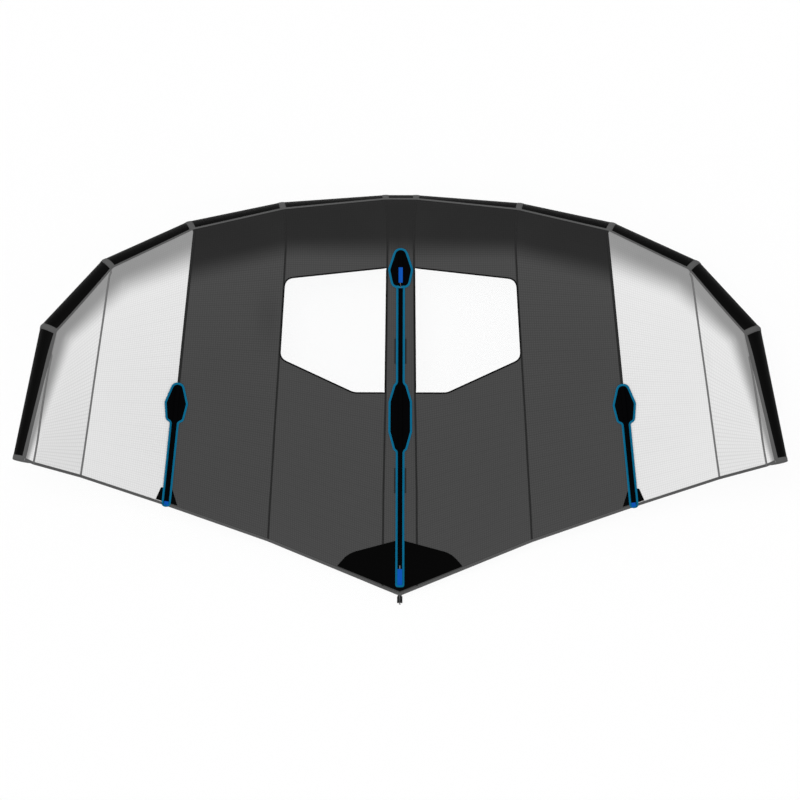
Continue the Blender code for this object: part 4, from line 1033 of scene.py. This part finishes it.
def canopy_sheet(name, first, last, finish, node, wall=CLOTH):
    """One sewn panel between two stations, with the flat size it is cut to and its area."""
    columns = max(4, round(abs(last - first) * SHEET_COLUMNS))
    middle = column_lengths((first + last) / 2)

    def place(u, v, rise):
        return signed_point(round(lerp(first, last, u), 6), ROWS * v, CLOTH + rise)

    def measure(u, v):
        left = signed_point(first, ROWS * v)
        right = signed_point(last, ROWS * v)
        reach = (place(u, v, 0.0) - left).length
        return reach - (right - left).length / 2, middle[round(v * SHEET_ROWS)]

    def shade(u, v):
        point = place(u, v, 0.0)
        # the second value is the strength of the painted shade of two faint folds
        return behind_tube(point), painted_fold_shade(point)

    bm = mapped(columns, SHEET_ROWS, place, measure, shade_of=shade)
    bmesh.ops.remove_doubles(bm, verts=bm.verts, dist=0.00001)
    area = sum(face.calc_area() for face in bm.faces)
    widths = [(signed_point(first, ROWS * t / 8) - signed_point(last, ROWS * t / 8)).length for t in range(9)]
    longest = max(column_lengths(first)[-1], middle[-1], column_lengths(last)[-1])
    piece = finish_piece(name, bm, finish, (node,), wall=wall)
    return piece, (max(widths), longest), area


def declare_sheet(piece, flat, area):
    """Works out the width of a sheet's cut, widened where it would be smaller than the sheet's area, and
    keeps nothing of it.
    """
    width, length = flat
    width = max(width, area / length * 1.001)


def window_outline(side):
    """A window's rounded outline: its corners lie on the two seams, or this far from the middle."""
    corners = []
    for share, y in WINDOW_CORNERS:
        if share == 0.0:
            corners.append((seam_x(side, y) + side * WINDOW_MARGIN, y, 0.0))
        elif share == 1.0:
            corners.append((seam_x(2 * side, y) - side * WINDOW_MARGIN, y, 1.0))
        else:
            corners.append((share * side, y, 1.6))
    return rounded_outline(corners, WINDOW_ROUND)


def sheet_area(piece):
    """Upper area of a finished sheet: half of all its faces."""
    return sum(polygon.area for polygon in piece.data.polygons) / 2


def flat_tape(height):
    """Section of a sewn tape: its share of the half width and its height, lower at the edges."""
    edge, shoulder = height - 0.0006, height - 0.0001
    return ((-1.0, edge), (-0.8, shoulder), (0.0, height), (0.8, shoulder), (1.0, edge))


# Plain panels of each half: label, first and last station, and finish
PANELS = (("mid", 2, 3, "dark"), ("outer", 3, 4, "pale"), ("tip", 4, 6, "pale"))
FILM = 0.0005


def make_window(side_name, side, edge_width):
    """The inner panel with its opening, the film sewn into it and the tape round its edge."""
    outline = window_outline(side)
    node = f"canopy_inner_panel_{side_name}"
    cloth, flat, _ = canopy_sheet(f"canopy_cloth_inner_{side_name}", side, 2 * side, "dark", node)
    cut_piece(cloth, standing_prism(outline, 0.0, 0.5))
    declare_sheet(cloth, flat, sheet_area(cloth))
    node = f"window_{side_name}"
    film, _, _ = canopy_sheet(f"window_film_{side_name}", side, 2 * side, "film", node, wall=FILM)
    cut_piece(film, standing_prism(outline, 0.0, 0.5), "INTERSECT")
    wide, long = (max(p[i] for p in outline) - min(p[i] for p in outline) for i in (0, 1))
    declare_sheet(film, (wide * 1.02, long * 1.04), sheet_area(film))
    loop = refined(outline, 0.012, closed=True)
    ribbon(f"window_edge_tape_{side_name}", loop, edge_width / 2, flat_tape(0.0012), "edge", closed=True)


def make_canopy(edge_width):
    piece, flat, area = canopy_sheet("canopy_cloth_center", -1, 1, "dark", "canopy_center_panel")
    declare_sheet(piece, flat, area)
    for side_name, side in SIDES:
        for label, first, last, finish in PANELS:
            name = f"canopy_cloth_{label}_{side_name}"
            node = f"canopy_{label}_panel_{side_name}"
            piece, flat, area = canopy_sheet(name, first * side, last * side, finish, node)
            declare_sheet(piece, flat, area)
        make_window(side_name, side, edge_width)


SEAM_FINISHES = {1: "seam_dark", 2: "seam_dark", 3: "seam_dark", 4: "seam_grey", 5: "seam_grey"}
COLOUR_SEAM = 3
COLOUR_SEAM_SHIFT = 0.0018


def make_seams(width):
    """The folded seams between the canopy's panels, wider where the colour changes."""
    for side_name, side in SIDES:
        for station, finish in SEAM_FINISHES.items():
            path = station_path(station * side, 0.6, ROWS - 0.02)
            half = width * 0.5
            if station == COLOUR_SEAM:
                path = [spot - Vector((COLOUR_SEAM_SHIFT * side, 0)) for spot in path]
                half = width * 0.7
            ribbon(f"panel_seam_{station}_{side_name}", path, half, flat_tape(0.0009), finish)


def make_hem(width):
    """The tape folded over the trailing edge, from the rear corner to the tube's tip."""
    section = (
        (1.0, -0.0007, 0, -1), (0.0, -0.0009, 0, -1), (-0.09, 0.0001, -1, 0), (-0.09, 0.0008, -1, 0),
        (0.0, 0.0021, 0, 1), (1.0, 0.0020, 0, 1),
    )
    for side_name, side in SIDES:

        def place(u, v, rise):
            station = side * (LAST - 0.05) * u
            edge = signed_point(station, ROWS)
            ahead = (signed_point(station, ROWS - 0.6) - edge).normalized()
            share, height, back, up = picked(section, v)
            return edge + ahead * (width * share + rise * back) + Vector((0, 0, height + rise * up))

        def measure(u, v):
            return picked(section, v)[0] * width, u * 1.62

        bm = mapped(130, len(section) - 1, place, measure)
        finish_piece(f"hem_tape_{side_name}", bm, "hem", (f"trailing_edge_hem_{side_name}",), wall=TAPE_WALL)


# Patches and battens: the sleeves' height, their channels, and half outlines as (x, y, radius share)
SLEEVE_TOP = LAYER_GAP + 0.0029
PAD_TOP = SLEEVE_TOP + 0.0012
CHANNEL = 0.0047
CHANNEL_FOOT = 0.0102
CHANNEL_SHOULDER = 0.0078
PAD_ROUND = 0.032
ROD_HALF = 0.0073
FRONT_PAD = ((0.022, 0.605, 1.0), (0.0495, 0.520, 1.0), (0.0345, 0.4462, 1.0))
CENTRE_STRIP = (
    (0.0178, 0.4560, 0.0), (0.0178, 0.0700, 0.4), (0.0265, 0.0620, 0.6), (0.0465, -0.0060, 0.6),
    (0.0470, -0.1260, 0.6), (0.0280, -0.1970, 0.6), (0.0178, -0.2065, 0.4), (0.0178, -0.7480, 0.35),
)
SIDE_STRIP = (
    (0.0210, 0.0676, 1.0), (0.0475, -0.0140, 0.7), (0.0365, -0.0830, 1.0), (0.0185, -0.0925, 0.3),
    (0.0185, -0.4296, 0.8),
)
CENTRE_CHANNEL, CENTRE_ROD = (0.608, -0.748), (0.596, -0.736)
SIDE_CHANNEL, SIDE_ROD = (0.0676, -0.4296), (0.052, -0.412)
FRONT_TAG, REAR_TAG, SIDE_TAG = (0.5280, 0.4680), (-0.6740, -0.7400), (-0.4060, -0.4250)
TAG_STITCHES = (
    ("front", (0.4672, 0.4470), SLEEVE_TOP + 0.0028), ("rear", (-0.6600, -0.6732), SLEEVE_TOP + 0.0012),
)
# Columns of a sleeve's cloth across its channel, squeezed where its half width is under SLEEVE_NARROW
SLEEVE_ACROSS = (
    -CHANNEL_FOOT, -0.0090, -CHANNEL_SHOULDER, -0.0040, 0.0,
    0.0040, CHANNEL_SHOULDER, 0.0090, CHANNEL_FOOT,
)
SLEEVE_NARROW = 0.0105


def seam_axis(station):
    """The plan line of a seam: a function from the distance along to a point and the way across."""
    known = {}

    def axis(y):
        key = round(y, 5)
        if key not in known:
            if station == 0:
                known[key] = (Vector((0, y)), Vector((1, 0)))
            else:
                low = max(y - 0.01, rear_point(abs(station)).y)
                here = Vector((seam_x(station, low), low))
                ahead = Vector((seam_x(station, low + 0.02) - here.x, 0.02))
                known[key] = (here + ahead * ((y - low) / 0.02), Vector((ahead.y, -ahead.x)).normalized())
        return known[key]

    return axis


def channel_over(axis, span):
    """Height of the batten's channel over the sleeve's flat, at a place in plan."""
    front, rear = span[0] - 0.006, span[1] + 0.006

    def over(spot):
        here, across = axis(spot.y)
        offset = abs((spot - here).dot(across))
        wall = smooth((CHANNEL_FOOT - offset) / (CHANNEL_FOOT - CHANNEL_SHOULDER))
        return CHANNEL * wall * smooth(min(front - spot.y, spot.y - rear) / 0.012)

    return over


def strip_outline(corners):
    """A closed outline, the same on both sides of its axis."""
    left = [(-x, y, share) for x, y, share in reversed(corners)]
    return rounded_outline([*corners, *left], PAD_ROUND)


def sleeve_offset(half, column):
    """Distance from the axis of a column of a sleeve that reaches this far to each side."""
    if 0 < column <= len(SLEEVE_ACROSS):
        return SLEEVE_ACROSS[column - 1] * min(1.0, half / SLEEVE_NARROW)
    return half if column else -half


def sleeve_cloth(name, corners, axis, over, top, node):
    """A strip of cloth sewn down along its outline, its middle raised over the batten."""
    right = sorted((p for p in strip_outline(corners) if p.x > 0), key=lambda p: -p.y)
    rows = [right[0]]
    for a, b in zip(right, right[1:]):
        count = max(1, math.ceil((a.y - b.y) / 0.012))
        rows += [a.lerp(b, i / count) for i in range(1, count + 1) if (a - b).length > 0.0001]
    columns = len(SLEEVE_ACROSS) + 1

    def place(u, v, rise):
        row = picked(rows, v)
        here, way = axis(row.y)
        spot = here + way * sleeve_offset(row.x, round(u * columns))
        return on_canopy(spot.x, spot.y, top + over(spot) + rise)

    def measure(u, v):
        row = picked(rows, v)
        return sleeve_offset(row.x, round(u * columns)), row.y

    bm = mapped(columns, len(rows) - 1, place, measure)
    finish_piece(name, bm, "sleeve", (node,), wall=CLOTH)


def binding_loop(name, corners, width, axis, over, top):
    """The tape sewn round the edge of a strip."""
    outline = refined(strip_outline(corners), 0.010, closed=True)
    loop = []
    for i, here in enumerate(outline):
        ahead = outline[(i + 1) % len(outline)] - outline[i - 1]
        inward = Vector((ahead.y, -ahead.x)).normalized() * (width / 2)
        spot = here + inward
        centre, way = axis(spot.y)
        loop.append(centre + way * spot.x)
    section = tuple((share, top + height) for share, height in flat_tape(0.0011))
    ribbon(name, loop, width / 2, section, "binding", closed=True, over=over)


def axis_path(axis, span, step=0.008):
    """Points of an axis between two distances along."""
    front, rear = span
    count = max(2, math.ceil((front - rear) / step))
    return [axis(lerp(front, rear, i / count))[0] for i in range(count + 1)]


def batten_tag(name, axis, over, span, width, node, top):
    """The blue webbing loop sewn across the end of a sleeve, raised like the batten's channel."""
    section = tuple((share, top + 0.0014) for share in (-1.0, -0.5, 0.0, 0.5, 1.0))

    def flat(spot):
        return over(axis(spot.y)[0])

    ribbon(name, axis_path(axis, span), width / 2, section, "tag", (node,), wall=0.0010, over=flat)


def batten_rod(name, axis, span, node):
    """The flat glass fibre batten inside a sleeve, its edges a little lower."""
    section = ((-1.0, 0.0056), (-0.85, 0.0064), (0.0, 0.0064), (0.85, 0.0064), (1.0, 0.0056))
    ribbon(name, axis_path(axis, span, 0.02), ROD_HALF, section, "rod", (node,), wall=0.0036)


def make_battens(sizes):
    axis = seam_axis(0)
    over = channel_over(axis, CENTRE_CHANNEL)
    node = "center_batten_sleeve"
    batten_rod("batten_rod_center", axis, CENTRE_ROD, "center_batten_rod")
    sleeve_cloth("batten_sleeve_center", CENTRE_STRIP, axis, over, SLEEVE_TOP, node)
    sleeve_cloth("front_pad", FRONT_PAD, axis, over, PAD_TOP, node)
    binding_loop("sleeve_binding_center", CENTRE_STRIP, sizes.binding, axis, over, SLEEVE_TOP)
    binding_loop("pad_binding_center", FRONT_PAD, sizes.binding, axis, over, PAD_TOP)
    batten_tag("tag_front", axis, over, FRONT_TAG, sizes.tag, "front_batten_tag", PAD_TOP)
    batten_tag("tag_rear", axis, over, REAR_TAG, sizes.tag, "rear_batten_tag", SLEEVE_TOP)
    for label, span, top in TAG_STITCHES:
        section = tuple((share, top) for share in (-1.0, 0.0, 1.0))
        path = axis_path(axis, span, 0.004)
        ribbon(f"tag_stitching_{label}", path, 0.0022, section, "seam_grey", over=over)
    for side_name, side in SIDES:
        axis = seam_axis(3 * side)
        over = channel_over(axis, SIDE_CHANNEL)
        node = f"side_batten_sleeve_{side_name}"
        batten_rod(f"batten_rod_{side_name}", axis, SIDE_ROD, f"side_batten_rod_{side_name}")
        sleeve_cloth(f"batten_sleeve_{side_name}", SIDE_STRIP, axis, over, SLEEVE_TOP, node)
        binding_loop(f"sleeve_binding_{side_name}", SIDE_STRIP, sizes.binding, axis, over, SLEEVE_TOP)
        node = f"side_batten_tag_{side_name}"
        batten_tag(f"tag_{side_name}", axis, over, SIDE_TAG, sizes.tag * 0.95, node, SLEEVE_TOP - 0.0008)


# Outlines of the reinforcements as (x, y, radius share)
CORNER_PATCH = (
    (0.251, -0.6640, 0.0), (0.206, -0.6130, 1.0), (0.0, -0.5580, 0.0), (-0.206, -0.6130, 1.0),
    (-0.251, -0.6640, 0.0), (0.0, -0.7660, 0.0),
)
SPOT_PLACES = (("front", 0.195), ("rear", -0.322))
SPOT_CORNERS = ((0.024, 0.05), (0.024, -0.05), (-0.024, -0.05), (-0.024, 0.05))
END_PATCH = ((0.976, -0.398, 0.0), (0.955, -0.351, 1.0), (0.912, -0.352, 1.0), (0.890, -0.424, 0.0))


def make_patches():
    outline = rounded_outline(CORNER_PATCH, 0.110)
    laid_patch("corner_patch", outline, 0.0012, "patch", "trailing_corner_patch")
    for label, place in SPOT_PLACES:
        outline = rounded_outline([(x, place + y, 1.0) for x, y in SPOT_CORNERS], 0.008)
        laid_patch(f"spot_patch_{label}_cloth", outline, 0.0012, "spot", f"spot_patch_{label}")
    for side_name, side in SIDES:
        outline = rounded_outline([(x * side, y, share) for x, y, share in END_PATCH], 0.014)
        node = f"batten_end_patch_{side_name}"
        laid_patch(f"end_patch_{side_name}", outline, 0.0013, "patch", node, cell=0.008)


# Boom, line, valve and handle
GRIP_START = 0.0723
GRIP_FINISH = 0.7864
GRIP_RADIUS = 0.0165
GRIP_BORE = 0.0143


def make_grip():
    """Foam pushed over the boom's front tube, with pressed rings near both ends."""
    place_boom, _ = boom_frame()
    round_off = [(0.0, -0.0016), (0.0006, -0.0007), (0.0018, -0.0002), (0.0034, 0.0)]
    ring = [(0.030, 0.0), (0.031, -0.0007), (0.033, -0.0007), (0.034, 0.0)]
    start = [(GRIP_START + a, GRIP_RADIUS + r) for a, r in round_off + ring]
    end = [(GRIP_FINISH - a, GRIP_RADIUS + r) for a, r in reversed(round_off + ring)]
    middle = [(lerp(start[-1][0], end[0][0], i / 60), GRIP_RADIUS) for i in range(1, 60)]
    inside = [(GRIP_FINISH, GRIP_BORE), (GRIP_START, GRIP_BORE)]
    section = [(GRIP_START, GRIP_BORE)] + start + middle + end + inside

    def place(u, v, rise):
        along, radius = picked(section, v)
        turn = 2 * math.pi * u
        reach = radius + rise
        return place_boom @ Vector((reach * math.cos(turn), -along, reach * math.sin(turn)))

    def measure(u, v):
        along, radius = picked(section, v)
        return u * 0.108, along + (GRIP_RADIUS - radius)

    bm = mapped(56, len(section) - 1, place, measure, weld=True)
    bmesh.ops.recalc_face_normals(bm, faces=bm.faces)
    piece = finish_piece("boom_grip_foam", bm, "foam", ("boom_grip",), body="boom")


def cord_bmesh(path, radius, sides=14, closed=False):
    """A round cord along a fine path, with filled ends or closed to a loop."""
    count = len(path) if closed else len(path) - 1
    lengths = path_lengths(path)

    def place(u, v, rise):
        here, ahead = heading(path, round(v * count), closed)
        out = ahead.cross(Vector((0.12, 0.18, 0.97))).normalized()
        turn = 2 * math.pi * u
        return here + (out * math.cos(turn) + ahead.cross(out) * math.sin(turn)) * (radius + rise)

    def measure(u, v):
        return u * 2 * math.pi * radius, lengths[round(v * count)]

    bm = mapped(sides, count, place, measure, weld=True)
    close_ends(bm)
    return bm


def bezier_path(points, count):
    """A smooth path led by its points."""
    found = []
    for i in range(count + 1):
        work = list(points)
        t = i / count
        while len(work) > 1:
            work = [a.lerp(b, t) for a, b in zip(work, work[1:])]
        found.append(work[0])
    return found


TAIL_BLOCK_LENGTH = 0.026
LINE_RADIUS = 0.0016
KNOT_RADIUS = 0.0042
KNOT_CORD = 0.0013
KNOT_POINTS = 96


def make_line():
    """The outhaul line from the canopy's corner into the tail end, and its stopper knot."""
    place_boom, length = boom_frame()
    rear = place_boom @ Vector((0, -length, 0))
    knot = rear + Vector((0, -KNOT_RADIUS - GAP, TAIL_BLOCK_LENGTH * 0.18))
    corner = signed_point(0.0, ROWS)
    top = Vector((0, corner.y - 0.0035, corner.z + LINE_RADIUS))
    front = Vector((0, rear.y + TAIL_BLOCK_LENGTH, knot.z))
    over_fork = front + Vector((0, 0, LINE_RADIUS))
    near_knot = knot + Vector((0, 0.012, 0.0005))
    path = bezier_path((top, top.lerp(front, 0.5), over_fork, near_knot, knot), 36)
    finish_piece("outhaul_cord", cord_bmesh(path, LINE_RADIUS), "line", ("outhaul_line",))
    scale = (KNOT_RADIUS - KNOT_CORD) / 3
    loop = []
    for i in range(KNOT_POINTS):
        t = 2 * math.pi * i / KNOT_POINTS
        trefoil = Vector((
            math.sin(t) + 2 * math.sin(2 * t), -1.3 * math.sin(3 * t), math.cos(t) - 2 * math.cos(2 * t),
        ))
        loop.append(knot + scale * trefoil)
    finish_piece("outhaul_knot", cord_bmesh(loop, KNOT_CORD, 10, closed=True), "line", ("outhaul_line",))


def make_valve_patch():
    """The round reinforcement that the valve is welded through."""
    matrix = valve_frame()
    radius = LE_RADIUS * share_at(RADIUS_SHARES, VALVE_STATION)
    section = ((0.0218, 0.0002), (0.0230, 0.0008), (0.0290, 0.0009), (0.0350, 0.0008), (0.0362, 0.0002))

    def measure(u, v):
        reach, _ = picked(section, v)
        turn = 2 * math.pi * u
        return reach * math.cos(turn), reach * math.sin(turn)

    def place(u, v, rise):
        _, height = picked(section, v)
        x, y = measure(u, v)
        return matrix @ Vector((x, y, math.sqrt(radius**2 - y**2) - radius + height + rise))

    bm = mapped(64, len(section) - 1, place, measure, weld=True)
    finish_piece("valve_patch", bm, "patch", wall=TAPE_WALL)


def handle_lift(x):
    """Height of the webbing off the tube: flat feet, then a smooth rise to the grip."""
    share = (HANDLE_HALF - HANDLE_FOOT - abs(x)) / HANDLE_SLOPE
    return lerp(GAP, HANDLE_STANDOFF, smooth(share))


def strap_bmesh(half, width, thick, lift_of, rows, crown=0.0):
    """A strap with rounded edges along the front of the tube."""

    def place(u, v, rise):
        x = lerp(-half, half, v)
        turn = 2 * math.pi * u
        c, s = math.cos(turn), math.sin(turn)
        across = width / 2 * math.copysign(abs(c) ** 0.4, c) + rise * c
        swell = crown * math.sin(math.pi * v) ** 0.5 * (0.5 + 0.5 * s)
        height = lift_of(x) + thick / 2 * (1 + math.copysign(abs(s) ** 0.5, s))
        height += swell * max(0.0, s) + rise * s
        return across_tube(x, HANDLE_ANGLE + math.degrees(across / LE_RADIUS), height)

    def measure(u, v):
        return width * 0.5 * math.cos(2 * math.pi * u), v * 2 * half

    bm = mapped(20, rows, place, measure, weld=True)
    close_ends(bm)
    return bm


# The handle's sections, and the patches that its feet are sewn on
WEBBING_WIDTH, WEBBING_THICK = 0.024, 0.0019
PAD_WIDTH, PAD_THICK, PAD_CROWN = 0.0264, 0.0020, 0.0012
ANCHOR_WIDTH, ANCHOR_LENGTH = 0.040, 0.052


def make_handle():
    webbing = strap_bmesh(HANDLE_HALF, WEBBING_WIDTH, WEBBING_THICK, handle_lift, 96)
    finish_piece("handle_strap", webbing, "webbing", ("handle_webbing",))
    lift = HANDLE_STANDOFF + 0.002 + GAP
    pad = strap_bmesh(HANDLE_PAD_HALF, PAD_WIDTH, PAD_THICK, lambda x: lift, 48, crown=PAD_CROWN)
    piece = finish_piece("handle_pad_foam", pad, "foam", ("handle_pad",))
    for side_name, side in SIDES:
        foot = side * (HANDLE_HALF - HANDLE_FOOT / 2)

        def place(u, v, rise):
            angle = HANDLE_ANGLE + math.degrees(ANCHOR_WIDTH * (u - 0.5) / LE_RADIUS)
            edge = 2 * max(abs(u - 0.5), abs(v - 0.5))
            return across_tube(foot + ANCHOR_LENGTH * (v - 0.5), angle, 0.0002 - 0.0001 * edge**8 + rise)

        bm = mapped(14, 16, place, lambda u, v: (u * ANCHOR_WIDTH, v * ANCHOR_LENGTH))
        finish_piece(f"handle_anchor_{side_name}", bm, "patch", wall=0.0002)


NODE_FINISHES = {
    "block": ("boom_tail_end",),
    "bladder": ("le_bladder",),
    "alloy": ("boom_front_tube", "boom_tail_tube"),
    "steel": ("boom_head_pin", "clamp_lever_pin"),
    "plastic": (
        "boom_mount_plate", "boom_head", "clamp_collar", "clamp_lever",
        "valve_base", "valve_button", "valve_cap",
    ),
}


def finish_fittings():
    """Gives the rigid solids their finishes."""
    for finish, nodes in NODE_FINISHES.items():
        for node in nodes:
            for slot in bpy.data.objects[node].material_slots:
                slot.material = FINISHES[finish]


# Operators, one for each group of pieces
class WING_OT_finishes(Operator):
    """Makes the cloth, film, plastic and metal finishes and gives them to the rigid fittings"""

    bl_idname = "wing.finishes"
    bl_label = "Make finishes"

    def execute(self, context):
        make_finishes(context.scene.wing_colours, context.scene.wing_sizes)
        finish_fittings()
        return {"FINISHED"}


class WING_OT_tube(Operator):
    """Builds the inflated tube's cloth panels"""

    bl_idname = "wing.tube"
    bl_label = "Build tube cloth"

    def execute(self, context):
        make_tube()
        return {"FINISHED"}


class WING_OT_tube_tapes(Operator):
    """Builds the joint tapes, the tip caps and the valve's reinforcement"""

    bl_idname = "wing.tube_tapes"
    bl_label = "Build tube tapes and caps"

    def execute(self, context):
        make_joint_tapes(context.scene.wing_sizes.joint_tape)
        make_tip_caps()
        make_valve_patch()
        return {"FINISHED"}


class WING_OT_canopy(Operator):
    """Builds the canopy's sewn panels and its two windows"""

    bl_idname = "wing.canopy"
    bl_label = "Build canopy and windows"

    def execute(self, context):
        make_canopy(context.scene.wing_sizes.window_edge)
        return {"FINISHED"}


class WING_OT_seams(Operator):
    """Builds the canopy's seams, its front tape and its hem"""

    bl_idname = "wing.seams"
    bl_label = "Build seams and hem"

    def execute(self, context):
        sizes = context.scene.wing_sizes
        make_seams(sizes.seam)
        make_seam_tape(sizes.seam_tape)
        make_hem(sizes.hem)
        return {"FINISHED"}


class WING_OT_patches(Operator):
    """Builds the reinforcements sewn on the canopy"""

    bl_idname = "wing.patches"
    bl_label = "Build reinforcements"

    def execute(self, context):
        make_patches()
        return {"FINISHED"}


class WING_OT_battens(Operator):
    """Builds the batten sleeves, their bindings and tags"""

    bl_idname = "wing.battens"
    bl_label = "Build batten sleeves"

    def execute(self, context):
        make_battens(context.scene.wing_sizes)
        return {"FINISHED"}


class WING_OT_boom(Operator):
    """Builds the boom's foam grip and the line that holds its rear end"""

    bl_idname = "wing.boom"
    bl_label = "Build boom grip and line"

    def execute(self, context):
        make_grip()
        make_line()
        return {"FINISHED"}


class WING_OT_handle(Operator):
    """Builds the front handle's webbing and padding"""

    bl_idname = "wing.handle"
    bl_label = "Build front handle"

    def execute(self, context):
        make_handle()
        return {"FINISHED"}


# Stage: a pale floor under the wing, and how much of it the camera sees through
FLOOR_RADIUS = 60.0
FLOOR_Z = -0.0015
FLOOR_CLEAR = 0.94
WORLD_STRENGTH = 0.60
SUN_STRENGTH = 1.53
SUN_SPREAD = math.radians(28)
SUN_TURN = (math.radians(-10), math.radians(-8), 0)
LENS_MM = 1200.0
CAMERA_PLACE = (-0.0012, 0, 106.67)
CAMERA_TURN = 0.0028


def shown_clear(tree, surface, share_shown, kind="ShaderNodeEmission"):
    """Mixes in plain white, or a clear view of what is behind, for the camera, reflections and glass."""
    rays = tree.nodes.new("ShaderNodeLightPath").outputs
    either = math_node(tree, "MAXIMUM", rays["Is Camera Ray"], rays["Is Glossy Ray"])
    seen = math_node(tree, "MAXIMUM", either, rays["Is Transmission Ray"])
    below = tree.nodes.new("ShaderNodeNewGeometry").outputs["Backfacing"]
    share = math_node(tree, "MULTIPLY", seen, math_node(tree, "MAXIMUM", below, share_shown))
    mixer = tree.nodes.new("ShaderNodeMixShader")
    for socket, value in zip(mixer.inputs, (share, surface, tree.nodes.new(kind).outputs[0])):
        tree.links.new(value, socket)
    return mixer.outputs[0]


def make_floor():
    bm = bmesh.new()
    bmesh.ops.create_circle(bm, cap_ends=True, segments=96, radius=FLOOR_RADIUS)
    bmesh.ops.translate(bm, verts=bm.verts, vec=(0, 0, FLOOR_Z))
    floor = add_object("floor", mesh_from(bm, "floor"))
    made = bpy.data.materials.new("pale floor")
    made.use_nodes = True
    tree = made.node_tree
    shader = tree.nodes["Principled BSDF"]
    shader.inputs["Base Color"].default_value = (0.9, 0.9, 0.9, 1)
    shader.inputs["Roughness"].default_value = 1.0
    shader.inputs["Specular IOR Level"].default_value = 0.0
    clear = shown_clear(tree, shader.outputs[0], FLOOR_CLEAR, "ShaderNodeBsdfTransparent")
    tree.links.new(clear, tree.nodes["Material Output"].inputs["Surface"])
    floor.data.materials.append(made)


def make_world():
    world = bpy.data.worlds.new("soft studio")
    bpy.context.scene.world = world
    world.use_nodes = True
    tree = world.node_tree
    ground = tree.nodes["Background"]
    ground.inputs["Color"].default_value = (1, 1, 1, 1)
    ground.inputs["Strength"].default_value = WORLD_STRENGTH
    white = shown_clear(tree, ground.outputs[0], 1.0)
    tree.links.new(white, tree.nodes["World Output"].inputs["Surface"])


def make_light():
    lamp = bpy.data.lights.new("soft sun", "SUN")
    lamp.energy = SUN_STRENGTH
    lamp.angle = SUN_SPREAD
    piece = add_object("soft_sun", lamp)
    piece.rotation_euler = SUN_TURN
    piece.location = (0, 0, 8)


def make_camera():
    lens = bpy.data.cameras.new("above")
    lens.sensor_width = 36.0
    lens.lens = LENS_MM
    lens.clip_start = 1.0
    lens.clip_end = 500.0
    camera = add_object("above", lens)
    camera.location = CAMERA_PLACE
    camera.rotation_euler.z = CAMERA_TURN
    bpy.context.scene.camera = camera


class WING_OT_stage(Operator):
    """Sets up the floor, the light and the camera straight above the wing"""

    bl_idname = "wing.stage"
    bl_label = "Set up the stage"

    def execute(self, context):
        make_floor()
        make_world()
        make_light()
        make_camera()
        context.scene.view_settings.view_transform = "Standard"
        return {"FINISHED"}


STEPS = (
    WING_OT_finishes, WING_OT_tube, WING_OT_tube_tapes, WING_OT_canopy, WING_OT_seams,
    WING_OT_patches, WING_OT_battens, WING_OT_boom, WING_OT_handle, WING_OT_stage,
)


class WING_PT_panel(Panel):
    """Lists the wing's sizes, colours and building steps."""

    bl_idname = "WING_PT_panel"
    bl_label = "Wing"
    bl_space_type = "VIEW_3D"
    bl_region_type = "UI"
    bl_category = "Wing"

    def draw(self, context):
        for group in (context.scene.wing_sizes, context.scene.wing_colours):
            box = self.layout.box()
            for key in group.__annotations__:
                box.prop(group, key)
        for step in STEPS:
            self.layout.operator(step.bl_idname)


CLASSES = (WingColours, WingSizes, *STEPS, WING_PT_panel)


def register():
    for each in CLASSES:
        bpy.utils.register_class(each)
    bpy.types.Scene.wing_colours = PointerProperty(type=WingColours)
    bpy.types.Scene.wing_sizes = PointerProperty(type=WingSizes)


def unregister():
    del bpy.types.Scene.wing_sizes
    del bpy.types.Scene.wing_colours
    for each in reversed(CLASSES):
        bpy.utils.unregister_class(each)


def main():
    register()
    bpy.ops.wing.finishes()
    bpy.ops.wing.tube()
    bpy.ops.wing.tube_tapes()
    bpy.ops.wing.canopy()
    bpy.ops.wing.seams()
    bpy.ops.wing.patches()
    bpy.ops.wing.battens()
    bpy.ops.wing.boom()
    bpy.ops.wing.handle()
    bpy.ops.wing.stage()
    bpy.context.view_layer.update()


if __name__ == "__main__":
    main()
